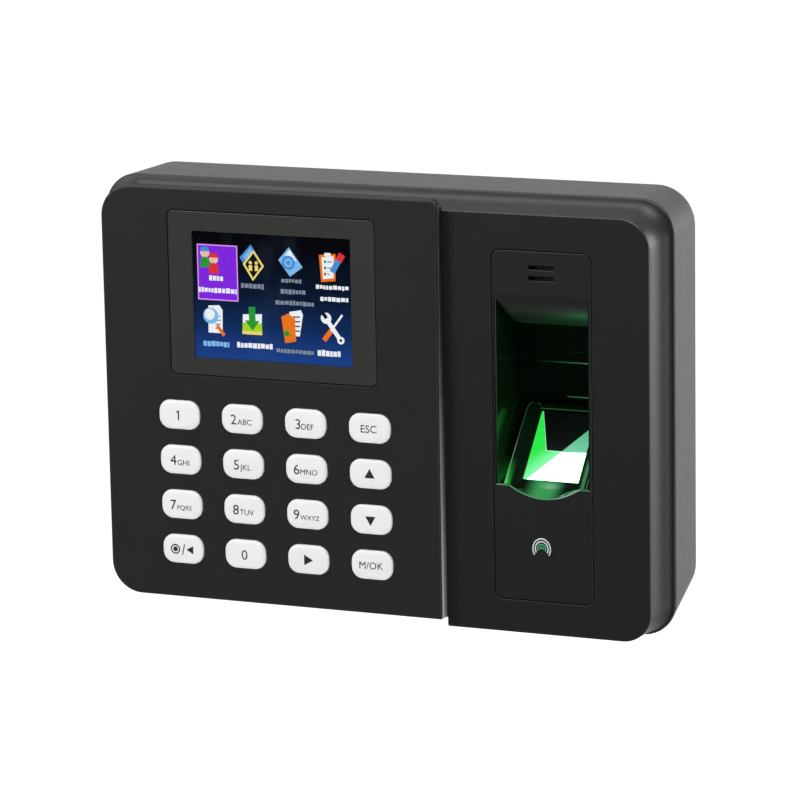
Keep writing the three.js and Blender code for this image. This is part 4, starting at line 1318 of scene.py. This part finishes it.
def emblem():
    """A small generic fingerprint mark of nested arcs below the bay."""
    bm_pale, bm_green = bmesh.new(), bmesh.new()
    x, z, y = 59.0, -44.2, FACE_Y + 0.005
    for k, (bm, radius) in enumerate(((bm_pale, 3.3), (bm_pale, 2.45), (bm_green, 1.6), (bm_green, 0.75))):
        width = 0.42
        start, end = radians(-35 + 6 * k), radians(215 - 6 * k)
        steps = 18
        turns = [start + (end - start) * i / steps for i in range(steps + 1)]
        points = [(x + radius * cos(a), z + 1.15 * radius * sin(a)) for a in turns]
        points += [(x + (radius - width) * cos(a), z + 1.15 * (radius - width) * sin(a)) for a in turns[::-1]]
        ink(bm, points, y)
    for name, bm, finish in (("emblem_outer", bm_pale, "mark_pale"),
                             ("emblem_inner", bm_green, "mark_green")):
        finish_piece(as_object(name, bm, 20), "frame_white", (), (finish,))


SPECIAL = {
    "step_trim": step_finish,
    "board": board_finish,
    "prism_glass": glass_finish,
    "screen": sky_finish,
    "panel_plastic": panel_finish,
    "guide_plastic": guide_finish,
    "bay_plastic": bay_finish,
    "hood_plastic": hood_finish,
    "apron_gloss": apron_finish,
}


# ---- stage ----
def staged(name, bm, grain, detail, pale, roughness, strength):
    """A pale surface round the object that no reflection shows."""
    mesh = bpy.data.meshes.new(name)
    bm.to_mesh(mesh)
    bm.free()
    s = Shader(name)
    s.set(Base_Color=s.mottle(grain, detail, (0.9, 0.9, 0.9), (pale, pale, pale)), Roughness=roughness)
    s.set(Emission_Color=(1, 1, 1, 1), Emission_Strength=strength)
    mesh.materials.append(s.material)
    surface = placed(name, mesh)
    surface.visible_glossy = False
    return surface


def surroundings():
    """The floor, and a white dome that only the camera sees, so that no horizon shows."""
    bm = bmesh.new()
    bmesh.ops.create_grid(bm, x_segments=8, y_segments=8, size=7.5)
    bm.transform(Matrix.Translation((0, 0, -0.8)))
    staged("floor", bm, 0.6, 3, 0.93, 0.9, 0.45)
    bm = bmesh.new()
    bmesh.ops.create_icosphere(bm, subdivisions=4, radius=9)
    dome = staged("backdrop", bm, 3.0, 2, 0.92, 0.95, 1.0)
    dome.visible_diffuse = dome.visible_transmission = dome.visible_shadow = False


CAMERA = SimpleNamespace(place=(0.52969, -1.31138, 0.30554), azimuth=22.2637, elevation=12.4127, roll=-1.0402,
                         lens=189.737)


def camera():
    a, e, r = (radians(v) for v in (CAMERA.azimuth, CAMERA.elevation, CAMERA.roll))
    away = Vector((sin(a) * cos(e), -cos(a) * cos(e), sin(e)))
    right = Vector((cos(a), sin(a), 0))
    up = away.cross(right)
    x_axis = cos(r) * right + sin(r) * up
    y_axis = -sin(r) * right + cos(r) * up
    data = bpy.data.cameras.new("camera")
    data.lens = CAMERA.lens
    data.sensor_width = 36
    data.clip_start = 0.01
    data.clip_end = 200
    holder = placed("camera", data)
    holder.matrix_world = Matrix.Translation(CAMERA.place) @ Matrix((x_axis, y_axis,
                                                                     away)).transposed().to_4x4()
    bpy.context.scene.camera = holder


def world():
    """Studio surroundings: bright behind and above, dim in front of the object."""
    w = bpy.data.worlds.new("studio")
    bpy.context.scene.world = w
    w.use_nodes = True
    tree = w.node_tree
    nodes, links = tree.nodes, tree.links
    where = nodes.new("ShaderNodeTexCoord").outputs["Generated"]
    split = nodes.new("ShaderNodeSeparateXYZ")
    links.new(where, split.inputs[0])
    spread = nodes.new("ShaderNodeMapRange")
    spread.interpolation_type = "SMOOTHSTEP"
    for key, number in zip(("From Min", "From Max", "To Min", "To Max"), (-0.8, 0.5, 0.03, 1.0)):
        spread.inputs[key].default_value = number
    links.new(split.outputs["Y"], spread.inputs["Value"])
    background = nodes["Background"]
    background.inputs["Color"].default_value = (1, 1, 1, 1)
    links.new(spread.outputs["Result"], background.inputs["Strength"])


def softbox(name, place, target, width, height, power):
    light = bpy.data.lights.new(name, "AREA")
    light.shape = "RECTANGLE"
    light.size = width
    light.size_y = height
    light.energy = power
    holder = placed(name, light)
    holder.location = place
    holder.rotation_mode = "QUATERNION"
    holder.rotation_quaternion = (Vector(target) - Vector(place)).to_track_quat("-Z", "Y")
    return holder


def lights():
    softbox("key_light", (0.5, -1.0, 1.8), (0, 0, 0), 0.9, 0.9, 28)
    softbox("top_left_light", (-0.75, -0.4, 1.75), (0, 0, 0), 0.5, 0.5, 9)
    softbox("left_light", (-0.62, -0.7, 0.42), (-0.08, 0, 0.05), 0.4, 0.4, 4.0)
    softbox("right_low_light", (1.5, -0.65, -0.25), (0.1, 0, 0), 0.6, 0.6, 4.5)
    softbox("right_wall_light", (1.5, 1.2, 0.2), (0.1, 0, 0), 1.0, 1.0, 23)
    glow_light = softbox("bay_light", on_platen(2, -4, 3) * MM, on_platen(2, -4, 30) * MM, 0.014, 0.014,
                         0.003)
    glow_light.data.color = (0.12, 1.0, 0.3)
    glow_light.visible_camera = False


def build():
    camera()
    rear_shell()
    front_shell()
    keypad_shell()
    step_strip()
    window_border()
    display_glass()
    display_icons()
    keys()
    finger_bezel()
    finger_guide()
    prism_body()
    platen_faces()
    emblem()
    socket_contacts()
    screws()
    for node, (name, width, slot) in SOFTENED.items():
        softened(node, name, width, slot)
    surroundings()
    world()
    lights()
    view = bpy.context.scene.view_settings
    view.view_transform = "Standard"


build()
